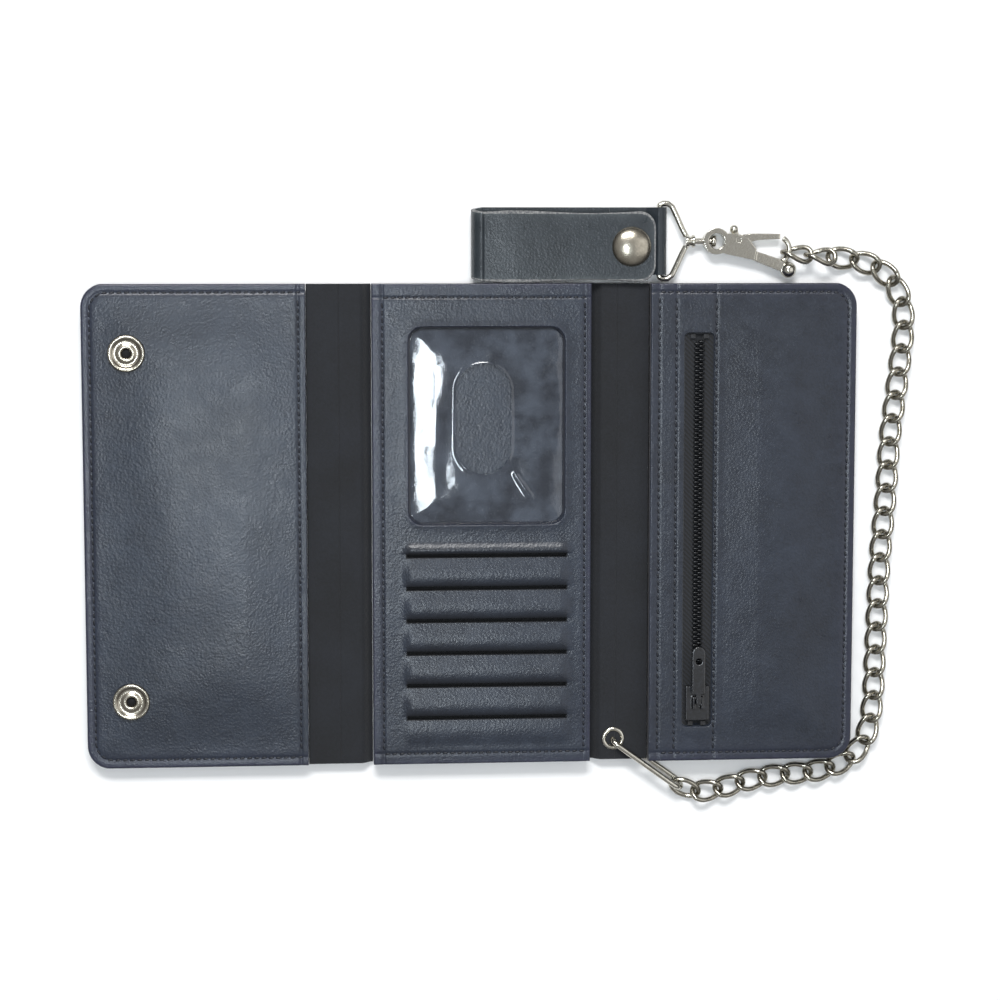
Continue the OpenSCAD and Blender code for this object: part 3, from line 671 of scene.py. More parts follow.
def left_pocket():
    xs = lines(LEFT_X0, LEFT_X1, 1.1, [(LEFT_X0, 1.2, 0.2), (LEFT_X0 + STITCH_IN, 1.2, 0.3),
                                     (LEFT_HEM_X, 1.2, 0.3), (LEFT_X1, 0.8, 0.2)])
    ys = lines(Y0, Y1, 1.1, [(Y0, 1.2, 0.2), (Y1, 1.2, 0.2),
                             (Y0 + STITCH_IN, 1.2, 0.3), (Y1 - STITCH_IN, 1.2, 0.3)])
    x, y = corner_squeeze(xs, ys, LEFT_X0, LEFT_X1, Y0, Y1, CORNER_R, -1)
    top = left_height(x, y)
    base = np.full_like(x, INNER) + round_over(left_depth(x, y), 0.3)
    obj = plate("left_pocket_leather", x, y, top, base, [GRAIN], wear=edge_wear(left_depth(x, y)))
    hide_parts("left_pocket_panel")
    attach(obj, "left_flap")
    inset = STITCH_IN
    rim = corner_run(LEFT_X0 + inset, LEFT_X1 - 1.5, Y0 + inset, Y1 - inset, CORNER_R - inset + 1, -1)
    stitch_row("left_pocket_stitches", [rim], left_height, "left_flap")
    stitch_row("left_hem_stitches", [[[LEFT_HEM_X, Y0 + 6], [LEFT_HEM_X, Y1 - 6]]], left_height, "left_flap")


# ---- covers and folds ------------------------------------------------------------------

def cover(name, node, x0, x1, z0, side, body):
    """Outer leather of one panel: a sheet with softly rounded edges."""
    xs = lines(x0, x1, 2.5, [(x0, 1.0, 0.25), (x1, 1.0, 0.25)])
    ys = lines(Y0, Y1, 2.5, [(Y0, 1.0, 0.25), (Y1, 1.0, 0.25)])
    if side:
        x, y = corner_squeeze(xs, ys, x0, x1, Y0, Y1, CORNER_R, side)
    else:
        x, y = np.meshgrid(xs, ys, indexing="ij")
    far = 30
    depth = rounded_box_depth(x, y, x0 - (far if side > 0 else 0) - (0 if side else far),
                              x1 + (far if side < 0 else 0) + (0 if side else far), Y0, Y1,
                              CORNER_R if side else 0.01)
    top = z0 + COVER_T - round_over(depth, 0.45)
    base = z0 + round_over(depth, 0.6)
    obj = plate(name, x, y, top, base, [GRAIN_SHADED], wear=edge_wear(depth, 1.6))
    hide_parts(node)
    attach(obj, body)
    return obj


FOLD_STEP = 4.2


def fold_rise(run):
    """Height of the cover along a fold: a half cosine from the table to the lifted flap."""
    share = np.clip(run / FOLD_STEP, 0, 1)
    return LIFT * (1 - np.cos(math.pi * share)) / 2


def fold_strip(name, x0, x1, low_x, direction, node=None, seed=1):
    """Strip of cover leather across one crease; low_x is where it leaves the table."""
    xs = lines(min(x0, x1), max(x0, x1), 0.5)
    ys = lines(Y0, Y1, 1.6, [(Y0, 1.0, 0.25), (Y1, 1.0, 0.25)])
    x, y = np.meshgrid(xs, ys, indexing="ij")
    rise = fold_rise((x - low_x) * direction)
    depth = np.minimum(y - Y0, Y1 - y)
    away = np.clip((x - low_x) * direction / 6, 0, 1)
    wrinkle = 0.16 * waves(x * 3.2, y, 46, seed) * away + 0.08 * waves(x * 5, y * 0.8, 17, seed + 9) * away
    wrinkle = wrinkle * np.clip(depth / 3, 0, 1)
    top = rise + COVER_T - round_over(depth, 0.5) + np.minimum(wrinkle, 0.12)
    base = rise + round_over(depth, 0.5) + np.minimum(wrinkle, 0.0) * 0.3
    obj = plate(name, x, y, top, base, [FLESH], wear=edge_wear(depth, 1.5))
    if node:
        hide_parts(node)
    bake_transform(obj)
    return obj


def covers():
    cover("left_cover_leather", "cover_left", LEFT_X0, LEFT_X1, LIFT, -1, "left_flap")
    cover("middle_cover_leather", "cover_middle", MID_X0, MID_X1, 0, 0, "middle")
    cover("right_cover_leather", "cover_right", RIGHT_X0, RIGHT_X1, LIFT, 1, "right_flap")
    left_mid = (CREASE_3 + CREASE_4) / 2
    lap = 0.02
    right_mid = (CREASE_1 + CREASE_2) / 2
    fold_strip("left_fold_inner", left_mid, MID_X0, MID_X0, -1,
               "left_fold", seed=11)
    fold_strip("left_fold_outer", LEFT_X1, left_mid + lap, MID_X0, -1,
               seed=11)
    fold_strip("right_fold_inner", MID_X1, right_mid, MID_X1, 1,
               "right_fold", seed=23)
    fold_strip("right_fold_outer", right_mid - lap, RIGHT_X0, MID_X1, 1,
               seed=23)


# ---- card panel ------------------------------------------------------------------------

STITCH_MID_L = MID_X0 + 3.9
STITCH_MID_R = MID_X1 - 2.6
STITCH_MID_TOP = Y1 - 5.1
STITCH_MID_LOW = Y0 + 4.1
FLOOR_Z = VINYL_Z0 - 0.9


def window_depth(x, y):
    return rounded_box_depth(x, y, WINDOW_X - WINDOW_W / 2, WINDOW_X + WINDOW_W / 2,
                             WINDOW_Y - WINDOW_H / 2, WINDOW_Y + WINDOW_H / 2, WINDOW_R)


def card_height(x, y):
    """Top of the card panel: crowned bands between the slits, a soft bevel down into the
    window, pressed stitch lines and a rounded outer edge."""
    depth = np.minimum(np.minimum(x - MID_X0, MID_X1 - x), np.minimum(y - Y0, Y1 - y))
    z = MID_TOP - 0.25 + 0.12 * waves(x, y, 30, 15)
    in_row = np.clip((SLIT_W / 2 + 2.5 - np.abs(x - WINDOW_X)) / 5, 0, 1)
    in_row = in_row * in_row * (3 - 2 * in_row)
    for i, slit in enumerate(SLITS):
        high = slit + SLIT_PITCH if i else slit + 5.5
        share = np.clip((y - slit) / (high - SLIT_GAP - slit), 0, 1)
        crown = np.sin(math.pi * share ** 0.62) ** 1.1
        here = (y >= slit) & (y <= high - SLIT_GAP)
        z = z + np.where(here, 1.0 * crown * in_row, 0)
    share = np.clip((SLITS[-1] - SLIT_GAP - y) / 9, 0, 1)
    z = z + np.where(y < SLITS[-1] - SLIT_GAP, 0.45 * np.sin(math.pi * share) * in_row, 0)
    for slit in SLITS:
        across = np.clip((np.abs(y - (slit - SLIT_GAP / 2)) - SLIT_GAP / 2 + 0.25) / 0.3, 0, 1)
        ends = np.clip((np.abs(x - WINDOW_X) - SLIT_W / 2 + 0.4) / 0.6, 0, 1)
        z = z - 2.2 * (1 - np.maximum(across, ends))
    hole = window_depth(x, y)
    lip = np.exp(-(np.clip(-hole, 0, None) / 2.2) ** 2) * 0.35
    z = np.where(hole < 0, z + lip, z)
    into = np.clip((hole + 1.1) / 1.5, 0, 1)
    into = into * into * (3 - 2 * into)
    z = z * (1 - into) + FLOOR_Z * into
    for line, reach in ((x - STITCH_MID_L, 0), (x - STITCH_MID_R, 0),
                        (y - STITCH_MID_TOP, 0), (y - STITCH_MID_LOW, 0)):
        z = z - groove(np.abs(line), 0.24, 0.6)
    z = z - 0.3 * np.clip((x - (MID_X1 - 1.9)) / 0.5, 0, 1)
    return z - round_over(depth, 0.7)


def card_panel():
    xs = lines(MID_X0, MID_X1, 0.9, [
        (MID_X0, 1.0, 0.2), (MID_X1, 2.2, 0.25), (STITCH_MID_L, 1.2, 0.3), (STITCH_MID_R, 1.2, 0.3),
        (WINDOW_X - WINDOW_W / 2 - 0.3, 1.6, 0.25), (WINDOW_X + WINDOW_W / 2 + 0.3, 1.6, 0.25),
        (WINDOW_X - SLIT_W / 2, 1.0, 0.2), (WINDOW_X + SLIT_W / 2, 1.0, 0.2)])
    ys = lines(Y0, Y1, 0.9, [
        (Y0, 1.0, 0.2), (Y1, 1.0, 0.2), (STITCH_MID_TOP, 1.2, 0.3), (STITCH_MID_LOW, 1.2, 0.3),
        (WINDOW_Y - WINDOW_H / 2 - 0.3, 1.6, 0.25), (WINDOW_Y + WINDOW_H / 2 + 0.3, 1.6, 0.25)]
        + [(slit - SLIT_GAP / 2, 1.3, 0.13) for slit in SLITS])
    x, y = np.meshgrid(xs, ys, indexing="ij")
    top = card_height(x, y)
    base = np.full_like(x, BOARD_Z1)
    depth = np.minimum(np.minimum(x - MID_X0, MID_X1 - x), np.minimum(y - Y0, Y1 - y))
    hole = window_depth(x, y)
    wear = np.maximum(edge_wear(depth, 1.8), 0.45 * np.exp(-(hole / 1.4) ** 2))

    def dark(mx, my):
        in_slit = np.zeros(mx.shape, bool)
        for slit in SLITS:
            in_slit |= ((np.abs(my - (slit - SLIT_GAP / 2)) < SLIT_GAP / 2 - 0.1)
                        & (np.abs(mx - WINDOW_X) < SLIT_W / 2 - 0.2))
        return in_slit

    # Painted shade: darkest in each slit mouth, fading over about 2 mm up the band above it and 0.35 mm below
    # it, plus a dark line round the window rim, standing for shade in those hollows.
    painted_shade = np.zeros_like(x)
    mouth = 1 - np.clip((np.abs(x - WINDOW_X) - SLIT_W / 2 + 0.2) / 0.8, 0, 1)
    for slit in SLITS:
        above = np.exp(-(np.clip(y - slit, 0, None) / 2.2) ** 1.3) * (y > slit - SLIT_GAP)
        below = np.exp(-np.clip(slit - SLIT_GAP - y, 0, None) / 0.35) * (y <= slit - SLIT_GAP)
        painted_shade = np.maximum(painted_shade, 0.85 * (above + below) * mouth)
    painted_shade = np.maximum(painted_shade, 0.55 * np.exp(-(np.clip(-hole, 0, None) / 0.7) ** 2) * (hole < 0.6))
    index = top_index(x, y, dark)
    index = np.maximum(index, 2 * top_index(x, y, lambda mx, my: window_depth(mx, my) > 0.5))
    obj = plate("card_panel_leather", x, y, top, base, [GRAIN, HOLLOW, GRAIN], wear, index, painted_shade)
    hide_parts("card_panel", *[f"card_pocket_{i}" for i in range(1, 7)])
    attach(obj, "middle")
    runs = [
        [[STITCH_MID_L, STITCH_MID_LOW + 1], [STITCH_MID_L, STITCH_MID_TOP - 1]],
        [[STITCH_MID_R, STITCH_MID_LOW + 1], [STITCH_MID_R, STITCH_MID_TOP - 1]],
        [[STITCH_MID_L, STITCH_MID_TOP], [STITCH_MID_R, STITCH_MID_TOP]],
        [[STITCH_MID_L, STITCH_MID_LOW], [STITCH_MID_R, STITCH_MID_LOW]],
    ]
    stitch_row("card_panel_stitches", runs, card_height, "middle")
    return obj


def vinyl_window():
    """Clear film under the window's rim: a ring-shaped grid from the thumb hole's stadium to
    the film's outline, rippled by a few slow sines, and a bead round the thumb hole."""
    turn, rings = 220, 60
    a = np.linspace(0, math.tau, turn, endpoint=False)
    straight = THUMB_H / 2 - THUMB_W / 2
    inner = np.stack([np.cos(a) * THUMB_W / 2, np.sin(a) * THUMB_W / 2 + np.sign(np.sin(a)) * straight
                      * np.minimum(1, np.abs(np.sin(a)) * 6)], 1)
    inner += [THUMB_X, THUMB_Y]
    half_w, half_h = WINDOW_W / 2 + 0.4, WINDOW_H / 2 + 0.4
    reach = np.minimum(half_w / np.maximum(np.abs(np.cos(a)), 1e-6),
                       half_h / np.maximum(np.abs(np.sin(a)), 1e-6))
    outer = np.stack([np.cos(a) * reach + WINDOW_X, np.sin(a) * reach + WINDOW_Y], 1)
    t = (np.linspace(0, 1, rings) ** 1.2)[:, None, None]
    grid = inner[None] * (1 - t) + outer[None] * t
    x, y = grid[..., 0], grid[..., 1]
    rim = np.clip(window_depth(x, y) / 9, 0, 1)
    lift = 0.75 * rim ** 0.6 + 0.40 * waves(x, y, 34, 31) * rim + 0.14 * waves(x, y, 13, 37) * rim
    start, finish = np.array([14.4, 19.4]), np.array([22.4, 8.0])
    along = (finish - start) / np.linalg.norm(finish - start)
    far = (x - start[0]) * along[0] + (y - start[1]) * along[1]
    off = (x - start[0]) * along[1] - (y - start[1]) * along[0]
    inside = np.clip(far / 2, 0, 1) * np.clip((np.linalg.norm(finish - start) - far) / 3, 0, 1)
    lift = lift + 0.38 * inside * np.exp(-(off / 0.9) ** 2)
    lift = lift + 0.25 * np.exp(-(t[..., 0] * 30 / 1.2) ** 2)
    z = VINYL_Z1 - 0.55 + lift
    rows, columns = x.shape
    upper = np.stack([x, y, z], -1).reshape(-1, 3)
    lower = upper - [0, 0, 0.3]
    faces_up = quads(rows, columns, wrap_columns=True)
    faces_low = quads(rows, columns, wrap_columns=True, first=len(upper))[:, ::-1]
    i = np.arange(columns)
    j = (i + 1) % columns
    inner_wall = np.stack([i, j, j + len(upper), i + len(upper)], 1)
    last = (rows - 1) * columns
    outer_wall = np.stack([last + j, last + i, last + i + len(upper), last + j + len(upper)], 1)
    obj = make("window_film", np.concatenate([upper, lower]),
               np.concatenate([faces_up, faces_low, inner_wall, outer_wall]), [VINYL])
    outward(obj)
    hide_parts("id_window")
    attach(obj, "middle")


# ---- zipped pocket ---------------------------------------------------------------------

STITCH_RIGHT = (RIGHT_X0 + 3.2, RIGHT_X0 + 9.3, RIGHT_X0 + 23.7)


def right_depth(x, y):
    return rounded_box_depth(x, y, RIGHT_X0 - 30, RIGHT_X1, Y0, Y1, CORNER_R)


def zip_depth(x, y):
    return rounded_box_depth(x, y, ZIP_X - ZIP_W / 2, ZIP_X + ZIP_W / 2,
                             ZIP_Y - ZIP_L / 2, ZIP_Y + ZIP_L / 2, 1.5)


def right_height(x, y):
    """Top of the zipped pocket: a step at the zip's turned edges, pressed stitch lines, a low
    swelling over the coin bag and a rounded outer edge."""
    depth = right_depth(x, y)
    loose = np.clip((depth - 5) / 22, 0, 1)
    loose = loose * loose * (3 - 2 * loose) * np.clip((x - ZIP_X - 8) / 14, 0, 1)
    z = RIGHT_TOP - 0.35 + 0.8 * loose + 0.14 * waves(x, y, 36, 51) * np.clip(depth / 8, 0, 1)
    hole = zip_depth(x, y)
    into = np.clip((hole + 0.45) / 0.7, 0, 1)
    z = z * (1 - into) + (TAPE_Z - 0.9) * into
    z = z + 0.12 * np.exp(-((hole + 2.0) / 1.3) ** 2)
    for line in STITCH_RIGHT:
        z = z - groove(np.abs(x - line), 0.22, 0.6)
    z = z - groove(np.abs(depth - STITCH_IN), 0.26, 0.7)
    return z - round_over(depth, 0.9) - round_over(x - RIGHT_X0, 0.6)


def zip_pocket():
    xs = lines(RIGHT_X0, RIGHT_X1, 1.1, [(RIGHT_X0, 0.8, 0.2), (RIGHT_X1, 1.2, 0.2),
                                         (RIGHT_X1 - STITCH_IN, 1.2, 0.3),
                                       (ZIP_X - ZIP_W / 2, 1.2, 0.2), (ZIP_X + ZIP_W / 2, 1.2, 0.2)]
               + [(line, 1.0, 0.3) for line in STITCH_RIGHT])
    ys = lines(Y0, Y1, 1.1, [(Y0, 1.2, 0.2), (Y1, 1.2, 0.2),
                             (Y0 + STITCH_IN, 1.2, 0.3), (Y1 - STITCH_IN, 1.2, 0.3),
                           (ZIP_Y - ZIP_L / 2, 1.0, 0.2), (ZIP_Y + ZIP_L / 2, 1.0, 0.2)])
    x, y = corner_squeeze(xs, ys, RIGHT_X0, RIGHT_X1, Y0, Y1, CORNER_R, 1)
    top = right_height(x, y)
    base = np.full_like(x, INNER) + round_over(right_depth(x, y), 0.3)
    index = top_index(x, y, lambda mx, my: zip_depth(mx, my) > 0.3)
    wear = np.maximum(edge_wear(right_depth(x, y)), 0.5 * edge_wear(x - RIGHT_X0, 1.2))
    # The zipped panel takes the darker cowhide copy, whose darkness is painted shade.
    obj = plate("zip_pocket_leather", x, y, top, base, [GRAIN_SHADED, FLESH], wear=wear, index=index)
    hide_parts("zip_pocket_panel", "coin_pocket_bag")
    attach(obj, "right_flap")
    rim = corner_run(STITCH_RIGHT[0], RIGHT_X1 - STITCH_IN, Y0 + STITCH_IN, Y1 - STITCH_IN,
                     CORNER_R - STITCH_IN + 1, 1)
    rows = [[[line, Y0 + STITCH_IN + 1], [line, Y1 - STITCH_IN - 1]] for line in STITCH_RIGHT]
    stitch_row("zip_pocket_stitches", [rim] + rows, right_height, "right_flap")


def zip_tapes():
    """Two woven tapes beside the teeth: each a gently rippled strip, raised in a cord by the
    teeth."""
    for side, node in ((-1, "zipper_tape_left"), (1, "zipper_tape_right")):
        low, high = span(node)
        xs = lines(low[0], high[0], 0.5)
        ys = lines(low[1], high[1], 1.5)
        x, y = np.meshgrid(xs, ys, indexing="ij")
        near = np.abs(x - ZIP_X)
        top = TAPE_Z - 0.04 + 0.05 * waves(x, y, 12, 61) + 0.35 * np.exp(-((near - 1.3) / 0.8) ** 2)
        label = "left" if side < 0 else "right"
        obj = plate(f"zip_tape_{label}", x, y, top, np.full_like(x, TAPE_Z - 0.6), [TAPE])
        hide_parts(node)
        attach(obj, "right_flap")


def zip_teeth():
    """Two rows of moulded teeth: a short rounded block repeated every pitch, the rows half a
    pitch apart."""
    pitch = 1.6
    base, faces = capsule(8)
    for side, node in ((-1, "zipper_teeth_left"), (1, "zipper_teeth_right")):
        low, high = span(node)
        y = np.arange(low[1] + 0.6, high[1] - 0.4, pitch) + (0 if side < 0 else pitch / 2)
        local = base * [1.25, 0.42, 0.62]
        verts = np.stack([
            np.broadcast_to(local[None, :, 0] + ZIP_X + side * 0.75, (len(y), len(base))),
            local[None, :, 1] + y[:, None],
            np.broadcast_to(local[None, :, 2] + TAPE_Z + 0.62, (len(y), len(base)))], -1)
        every = (faces[None] + (np.arange(len(y)) * len(base))[:, None, None]).reshape(-1, 4)
        obj = make(f"zip_teeth_{'left' if side < 0 else 'right'}", verts.reshape(-1, 3), every, [TEETH])
        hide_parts(node)
        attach(obj, "right_flap")


# ---- chain -----------------------------------------------------------------------------

# The chain's route on the table, in millimetres, as in the frame's design
ROUTE = np.array([
    [74, -96], [81.8, -99.4], [90, -98.4], [100, -95.6], [112, -93.6], [127.5, -92.8], [137.8, -89.6],
    [144.7, -81.2], [147.3, -70], [148, -45], [149, -15], [151, 10], [152, 30], [154.5, 50], [156.8, 70],
    [155.7, 82], [150.4, 90], [142.4, 94], [134, 95.2], [124, 95.9], [104, 98.2]], float)
LINK_PITCH = 8.5
LINK_COUNT = 34
LINK_A, LINK_B, LINK_TWIST, LINK_WIRE = 5.35, 3.35, 1.3, 1.8
LINK_Z = LINK_TWIST + LINK_WIRE / 2
RUN_FIRST = [0, 4, 8, 12, 17, 21, 25, 29, 34]
HEAD_LIFT, HEAD_ROLL = [0.5, 1.0, 0.6], [30, 0, 0]
TAIL_LIFT, TAIL_ROLL = [1.75, 2.44, 0.16, 0.74, 0.73], [54, 56.5, -3.8, 5.7, -1.8]


def link_parts(i, joints):
    """A curb link: an oval swept as round wire, its height H sin 2t, so a row lies flat."""
    a, b = joints[i], joints[i + 1]
    twist = 0 if i == 0 else LINK_TWIST
    tail = LINK_COUNT - 1 - i
    lift = HEAD_LIFT[i] if i < 3 else TAIL_LIFT[tail] if tail < 5 else 0
    roll = math.radians(HEAD_ROLL[i] if i < 3 else TAIL_ROLL[tail] if tail < 5 else 0)
    t = np.linspace(0, math.tau, 44, endpoint=False)
    path = np.stack([LINK_A * np.cos(t), LINK_B * np.sin(t), twist * np.sin(2 * t)], 1)
    verts, faces = tube_parts(path, LINK_WIRE / 2, 12)
    y = verts[:, 1] * math.cos(roll) - verts[:, 2] * math.sin(roll)
    z = verts[:, 1] * math.sin(roll) + verts[:, 2] * math.cos(roll)
    turn = math.atan2(b[1] - a[1], b[0] - a[0])
    c, s = math.cos(turn), math.sin(turn)
    centre = (a + b) / 2
    place = np.stack([verts[:, 0] * c - y * s + centre[0],
                      verts[:, 0] * s + y * c + centre[1],
                      z + LINK_Z + lift], 1)
    return place, faces


def chain():
    leg = np.linalg.norm(np.diff(ROUTE, axis=0), axis=1)
    far = np.concatenate([[0], np.cumsum(leg)])
    s = np.arange(LINK_COUNT + 1) * LINK_PITCH
    joints = np.stack([np.interp(s, far, ROUTE[:, 0]), np.interp(s, far, ROUTE[:, 1])], 1)
    for k in range(8):
        parts = [link_parts(i, joints) for i in range(RUN_FIRST[k], RUN_FIRST[k + 1])]
        obj = make(f"chain_links_{k + 1}", *joined(parts), [CHAIN])
        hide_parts(f"chain_run_{k + 1}")
        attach(obj, f"chain_{k + 1}")


def connector():
    """Long ring on edge: two straight strands joined by half circles, swept as round wire."""
    wire, length, roll, turn = 2.0, 31.0, math.radians(20), math.radians(-36)
    low, high = span("connector_link")
    half = (high[2] - low[2] - wire) / 2 / math.cos(roll)
    a = np.linspace(math.pi / 2, 3 * math.pi / 2, 16)
    left = np.stack([half + half * np.cos(a), half * np.sin(a)], 1)
    b = np.linspace(-math.pi / 2, math.pi / 2, 16)
    right = np.stack([length - half + half * np.cos(b), half * np.sin(b)], 1)
    flat = np.concatenate([left, right])
    path = np.stack([flat[:, 0], np.zeros(len(flat)), flat[:, 1]], 1)
    verts, faces = tube_parts(path, wire / 2, 14, up=(0, 1, 0))
    y = verts[:, 1] * math.cos(roll) - verts[:, 2] * math.sin(roll)
    z = verts[:, 1] * math.sin(roll) + verts[:, 2] * math.cos(roll)
    eye = (span("chain_eyelet")[0] + span("chain_eyelet")[1]) / 2
    c, s = math.cos(turn), math.sin(turn)
    place = np.stack([verts[:, 0] * c - y * s + eye[0], verts[:, 0] * s + y * c + eye[1],
                      z + (low[2] + high[2]) / 2], 1)
    obj = outward(make("connector_ring", place, faces, [NICKEL]))
    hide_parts("connector_link")
    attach(obj, "connector")


# ---- CAD nodes that keep their shape ---------------------------------------------------

def kept(node, material, voxel=0.0, rounds=6):
    """Give a CAD node its finish; a casting's corners are melted by a fine remesh."""
    obj = frame["nodes"][node]
    if not hasattr(obj, "data"):
        obj = bpy.data.objects[obj]
    obj.data.materials.clear()
    obj.data.materials.append(material)
    if voxel:
        fine = obj.modifiers.new("casting_grid", "REMESH")
        fine.mode = "VOXEL"
        fine.voxel_size = voxel * MM
        fine.use_smooth_shade = True
        soft = obj.modifiers.new("worn_corners", "SMOOTH")
        soft.factor = 0.5
        soft.iterations = rounds
    return obj


# ---- turned hardware -------------------------------------------------------------------

def turned(name, parts, nodes, body, material):
    """One piece of several turned parts."""
    obj = outward(make(name, *joined(parts), [material]))
    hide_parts(*nodes)
    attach(obj, body)
    return obj


def snaps():
    """Line-24 snaps: pressed sockets with a rolled rim and a sprung well; domed caps under."""
    low, high = span("left_snap_sockets")
    x = (low[0] + high[0]) / 2
    ys = (high[1] - 6.5, low[1] + 6.5)
    z = high[2]
    socket = smooth_profile([
        [0, z - 1.5], [1.5, z - 1.5], [1.7, z - 0.5], [2.2, z - 0.25], [3.0, z - 0.35], [3.6, z - 0.75],
        [4.6, z - 0.7], [5.4, z - 0.05], [6.2, z + 0.05], [6.6, z - 0.5], [6.6, z - 1.2], [5.5, z - 1.5],
        [2.5, z - 1.7], [0, z - 1.7]])
    parts = [spun_parts(socket, (x, y, 0)) for y in ys]
    turned("snap_sockets", parts, ["left_snap_sockets"], "left_flap", CAP)
    disc = [[0, z - 1.3], [1.45, z - 1.3], [1.45, z - 1.45], [0, z - 1.45]]
    wells = [spun_parts(disc, (x, y, 0), 24) for y in ys]
    well = outward(make("snap_wells", *joined(wells), [HOLLOW]))
    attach(well, "left_flap")


def fob_cap():
    low, high = span("fob_snap_cap")
    x, y = (low[0] + high[0]) / 2, (low[1] + high[1]) / 2
    r, base, top = (high[1] - low[1]) / 2, low[2], high[2]
    dome = [[r * math.sin(t), base + (top - base) * math.cos(t) ** 0.8 if t < math.pi / 2 else base]
            for t in np.linspace(0, math.pi / 2, 14)]
    profile = dome + [[r - 0.4, base], [0, base]]
    turned("fob_cap", [spun_parts(profile, (x, y, 0), 64)],
           ["fob_snap_cap"], "fob_front", CAP)


def eyelet():
    low, high = span("chain_eyelet")
    x, y = (low[0] + high[0]) / 2, (low[1] + high[1]) / 2
    top = high[2]
    profile = smooth_profile([
        [2.5, low[2]], [2.55, top - 0.9], [2.9, top - 0.2], [3.5, top], [4.15, top - 0.35], [4.2, top - 0.75],
        [3.2, top - 0.8], [2.75, low[2]], [2.5, low[2]]])
    turned("eyelet", [spun_parts(profile, (x, y, 0), 48)],
           ["chain_eyelet"], "right_spine", NICKEL)


# ---- fob -------------------------------------------------------------------------------

def shell(name, outer, inner, materials, index=None, wear=None):
    """Closed sheet between two grids of points."""
    rows, columns = outer.shape[:2]
    count = rows * columns
    face_top = quads(rows, columns)
    face_low = quads(rows, columns, first=count)[:, ::-1]
    grid = np.arange(count).reshape(rows, columns)
    rim = np.concatenate([grid[:-1, 0], grid[-1, :-1], grid[:0:-1, -1], grid[0, :0:-1]])
    step = np.roll(rim, -1)
    walls = np.stack([rim, rim + count, step + count, step], 1)
    faces = np.concatenate([face_top, face_low, walls])
    slots = np.full(len(faces), 0, np.int32)
    if index is not None:
        slots[:len(face_top)] = index
        slots[2 * len(face_top):] = 1
    shade = None if wear is None else np.concatenate([wear.ravel(), wear.ravel()])
    verts = np.concatenate([outer.reshape(-1, 3), inner.reshape(-1, 3)])
    obj = make(name, verts, faces, materials, index=slots, wear=shade)
    return outward(obj)


def fob_leather():
    """Belt fob: a strap laid back on itself, its bend, and a front flap with a round end whose
    cut edges show pale; the flap's long edges wander by a fraction of a millimetre."""
    low, high = span("fob_flap")
    bend_0, bend_1 = span("fob_bend")
    strap_0, strap_1 = span("fob_strap")
    y0, y1 = low[1], high[1]
    x0, x1, r = low[0], high[0], 6.0
    xs = lines(x0, x1, 0.9, [(x1, 1.4, 0.2)])
    ys = lines(y0, y1, 0.8, [(y0, 1.3, 0.18), (y1, 1.3, 0.18)])
    x, y = corner_squeeze(xs, ys, x0, x1, y0, y1, r, 1)
    centre = (y0 + y1) / 2
    depth = rounded_box_depth(x, y, x0 - 20, x1, y0, y1, r)
    bow = 0.45 * np.sin((x - x0) / (x1 - x0) * math.pi * 2.2 + 0.4) * np.clip((x - x0) / 8, 0, 1)
    wear = np.exp(-np.clip(depth, 0, None) / 0.9)
    z = high[2] - round_over(depth, 0.5) + 0.12 * waves(x, y, 30, 71) * np.clip((x - x0) / 6, 0, 1)
    z = z + 0.35 * np.cos((y - centre) / (y1 - y0) * math.pi) * np.clip((x - x0) / 12, 0, 1)
    y = y + bow * ((y - centre) / (y1 - y0) * 2)
    outer = np.stack([x, y, z], -1)
    inner = np.stack([x, y, z * 0 + low[2] + round_over(depth, 0.4)], -1)
    pale = top_index(x, y, lambda mx, my: rounded_box_depth(mx, my, x0 - 20, x1, y0, y1, r) < 0.75)
    flap = shell("fob_flap_leather", outer, inner, [STRAP, EDGE], pale, wear)
    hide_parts("fob_flap")
    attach(flap, "fob_front")

    centre_x, centre_z = bend_1[0], (bend_0[2] + bend_1[2]) / 2
    out_r, in_r = (bend_1[2] - bend_0[2]) / 2, (bend_1[2] - bend_0[2]) / 2 - 1.5
    a = np.linspace(math.pi / 2, 3 * math.pi / 2, 25)
    ys = lines(bend_0[1], bend_1[1], 0.8, [(bend_0[1], 1.3, 0.18), (bend_1[1], 1.3, 0.18)])
    angle, y = np.meshgrid(a, ys, indexing="ij")
    depth = np.minimum(y - ys[0], ys[-1] - y)
    share = (y - ys[0]) / (ys[-1] - ys[0])
    round_share = (angle - math.pi / 2) / math.pi
    y = (y0 + (strap_0[1] - y0) * round_share) * (1 - share) + (y1 + (strap_1[1] - y1) * round_share) * share
    ring = lambda rad: np.stack([centre_x + rad * np.cos(angle), y, centre_z + rad * np.sin(angle)], -1)
    pale = np.zeros((len(a) - 1, len(ys) - 1), np.int32)
    pale[:, (ys[:-1] + ys[1:]) / 2 < ys[0] + 0.6] = 1
    pale[:, (ys[:-1] + ys[1:]) / 2 > ys[-1] - 0.6] = 1
    bend = shell("fob_bend_leather",
                 ring(out_r - round_over(depth, 0.4)), ring(in_r + round_over(depth, 0.3)),
                 [STRAP, EDGE], pale.ravel(), np.exp(-depth / 0.9))
    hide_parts("fob_bend")
    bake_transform(bend)


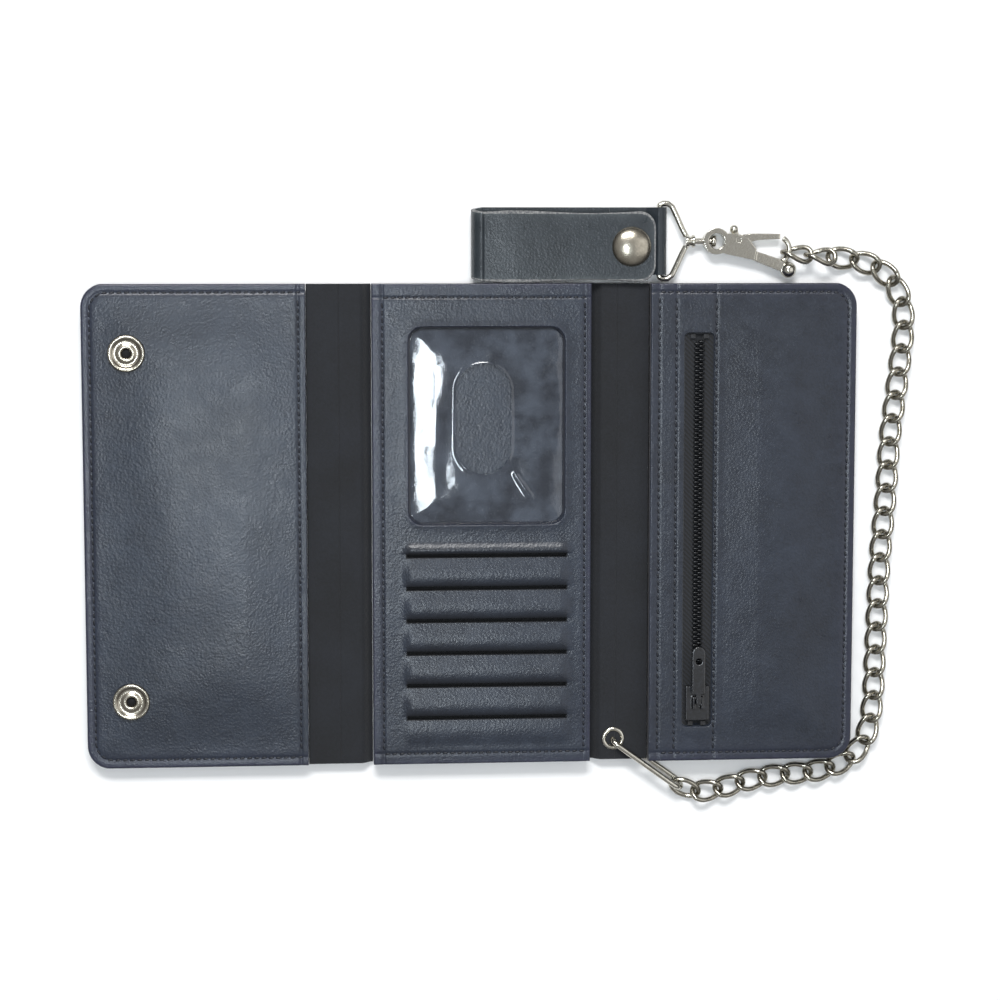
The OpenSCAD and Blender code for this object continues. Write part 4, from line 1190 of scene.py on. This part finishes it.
left_pocket()
covers()
card_panel()
vinyl_window()
zip_pocket()
zip_tapes()
zip_teeth()
chain()
connector()
snaps()
fob_cap()
eyelet()
fob_leather()
kept("card_board", FLESH)
kept("fob_strap", STRAP)
for node in ("zipper_slider", "zipper_pull"):
    kept(node, ENAMEL, 0.2, 4)
for node in ("hook_body", "hook_gate", "swivel_eye"):
    kept(node, NICKEL, 0.2, 5)
for node in ("left_snap_caps", "right_snap_studs", "right_snap_posts", "eyelet_washer", "gate_pin",
             "fob_snap_socket", "fob_snap_stud"):
    kept(node, NICKEL)
kept("zipper_stops", ENAMEL)


# ---- floor and lights ------------------------------------------------------------------

def floor():
    half = 3000
    corners = [[-half, -half, 0], [half, -half, 0], [half, half, 0], [-half, half, 0]]
    obj = make("floor", corners, [[0, 1, 2, 3]], [])
    f = Finish("pale_paper", Roughness=0.9)
    grain = f.noise(40)
    f.wire(f.ramp(grain.outputs["Fac"], [(0.3, linear("#f6f6f6")), (0.7, linear("#fbfbfb"))]), "Base Color")
    obj.data.materials.append(f.material)
    obj.location.z = -0.0002


def lights():
    centre = (0.0, 0.0, 0.0)
    area_light("window_light", (-0.15, 1.05, 1.25), centre, (0.8, 0.4), 22)
    area_light("near_light", (-0.09, -0.02, 0.90), (-0.04, 0.0, 0.0), (0.10, 0.28), 2.3, (0.84, 0.93, 1.0))
    area_light("fill_light", (1.1, 0.1, 1.3), centre, (1.4, 1.4), 5)
    world = bpy.data.worlds.new("studio")
    world.use_nodes = True
    tree = world.node_tree
    sky = tree.nodes["Background"]
    direction = tree.nodes.new("ShaderNodeTexCoord")
    height = tree.nodes.new("ShaderNodeSeparateXYZ")
    ramp = tree.nodes.new("ShaderNodeValToRGB")
    ramp.color_ramp.elements[0].position = 0.10
    ramp.color_ramp.elements[0].color = (0.06, 0.06, 0.065, 1)
    ramp.color_ramp.elements[1].position = 0.75
    ramp.color_ramp.elements[1].color = (1, 1, 1, 1)
    tree.links.new(direction.outputs["Generated"], height.inputs[0])
    tree.links.new(height.outputs["Z"], ramp.inputs[0])
    tree.links.new(ramp.outputs["Color"], sky.inputs["Color"])
    sky.inputs["Strength"].default_value = 0.42
    bpy.context.scene.world = world
    bpy.context.scene.view_settings.view_transform = "Standard"


floor()
lights()
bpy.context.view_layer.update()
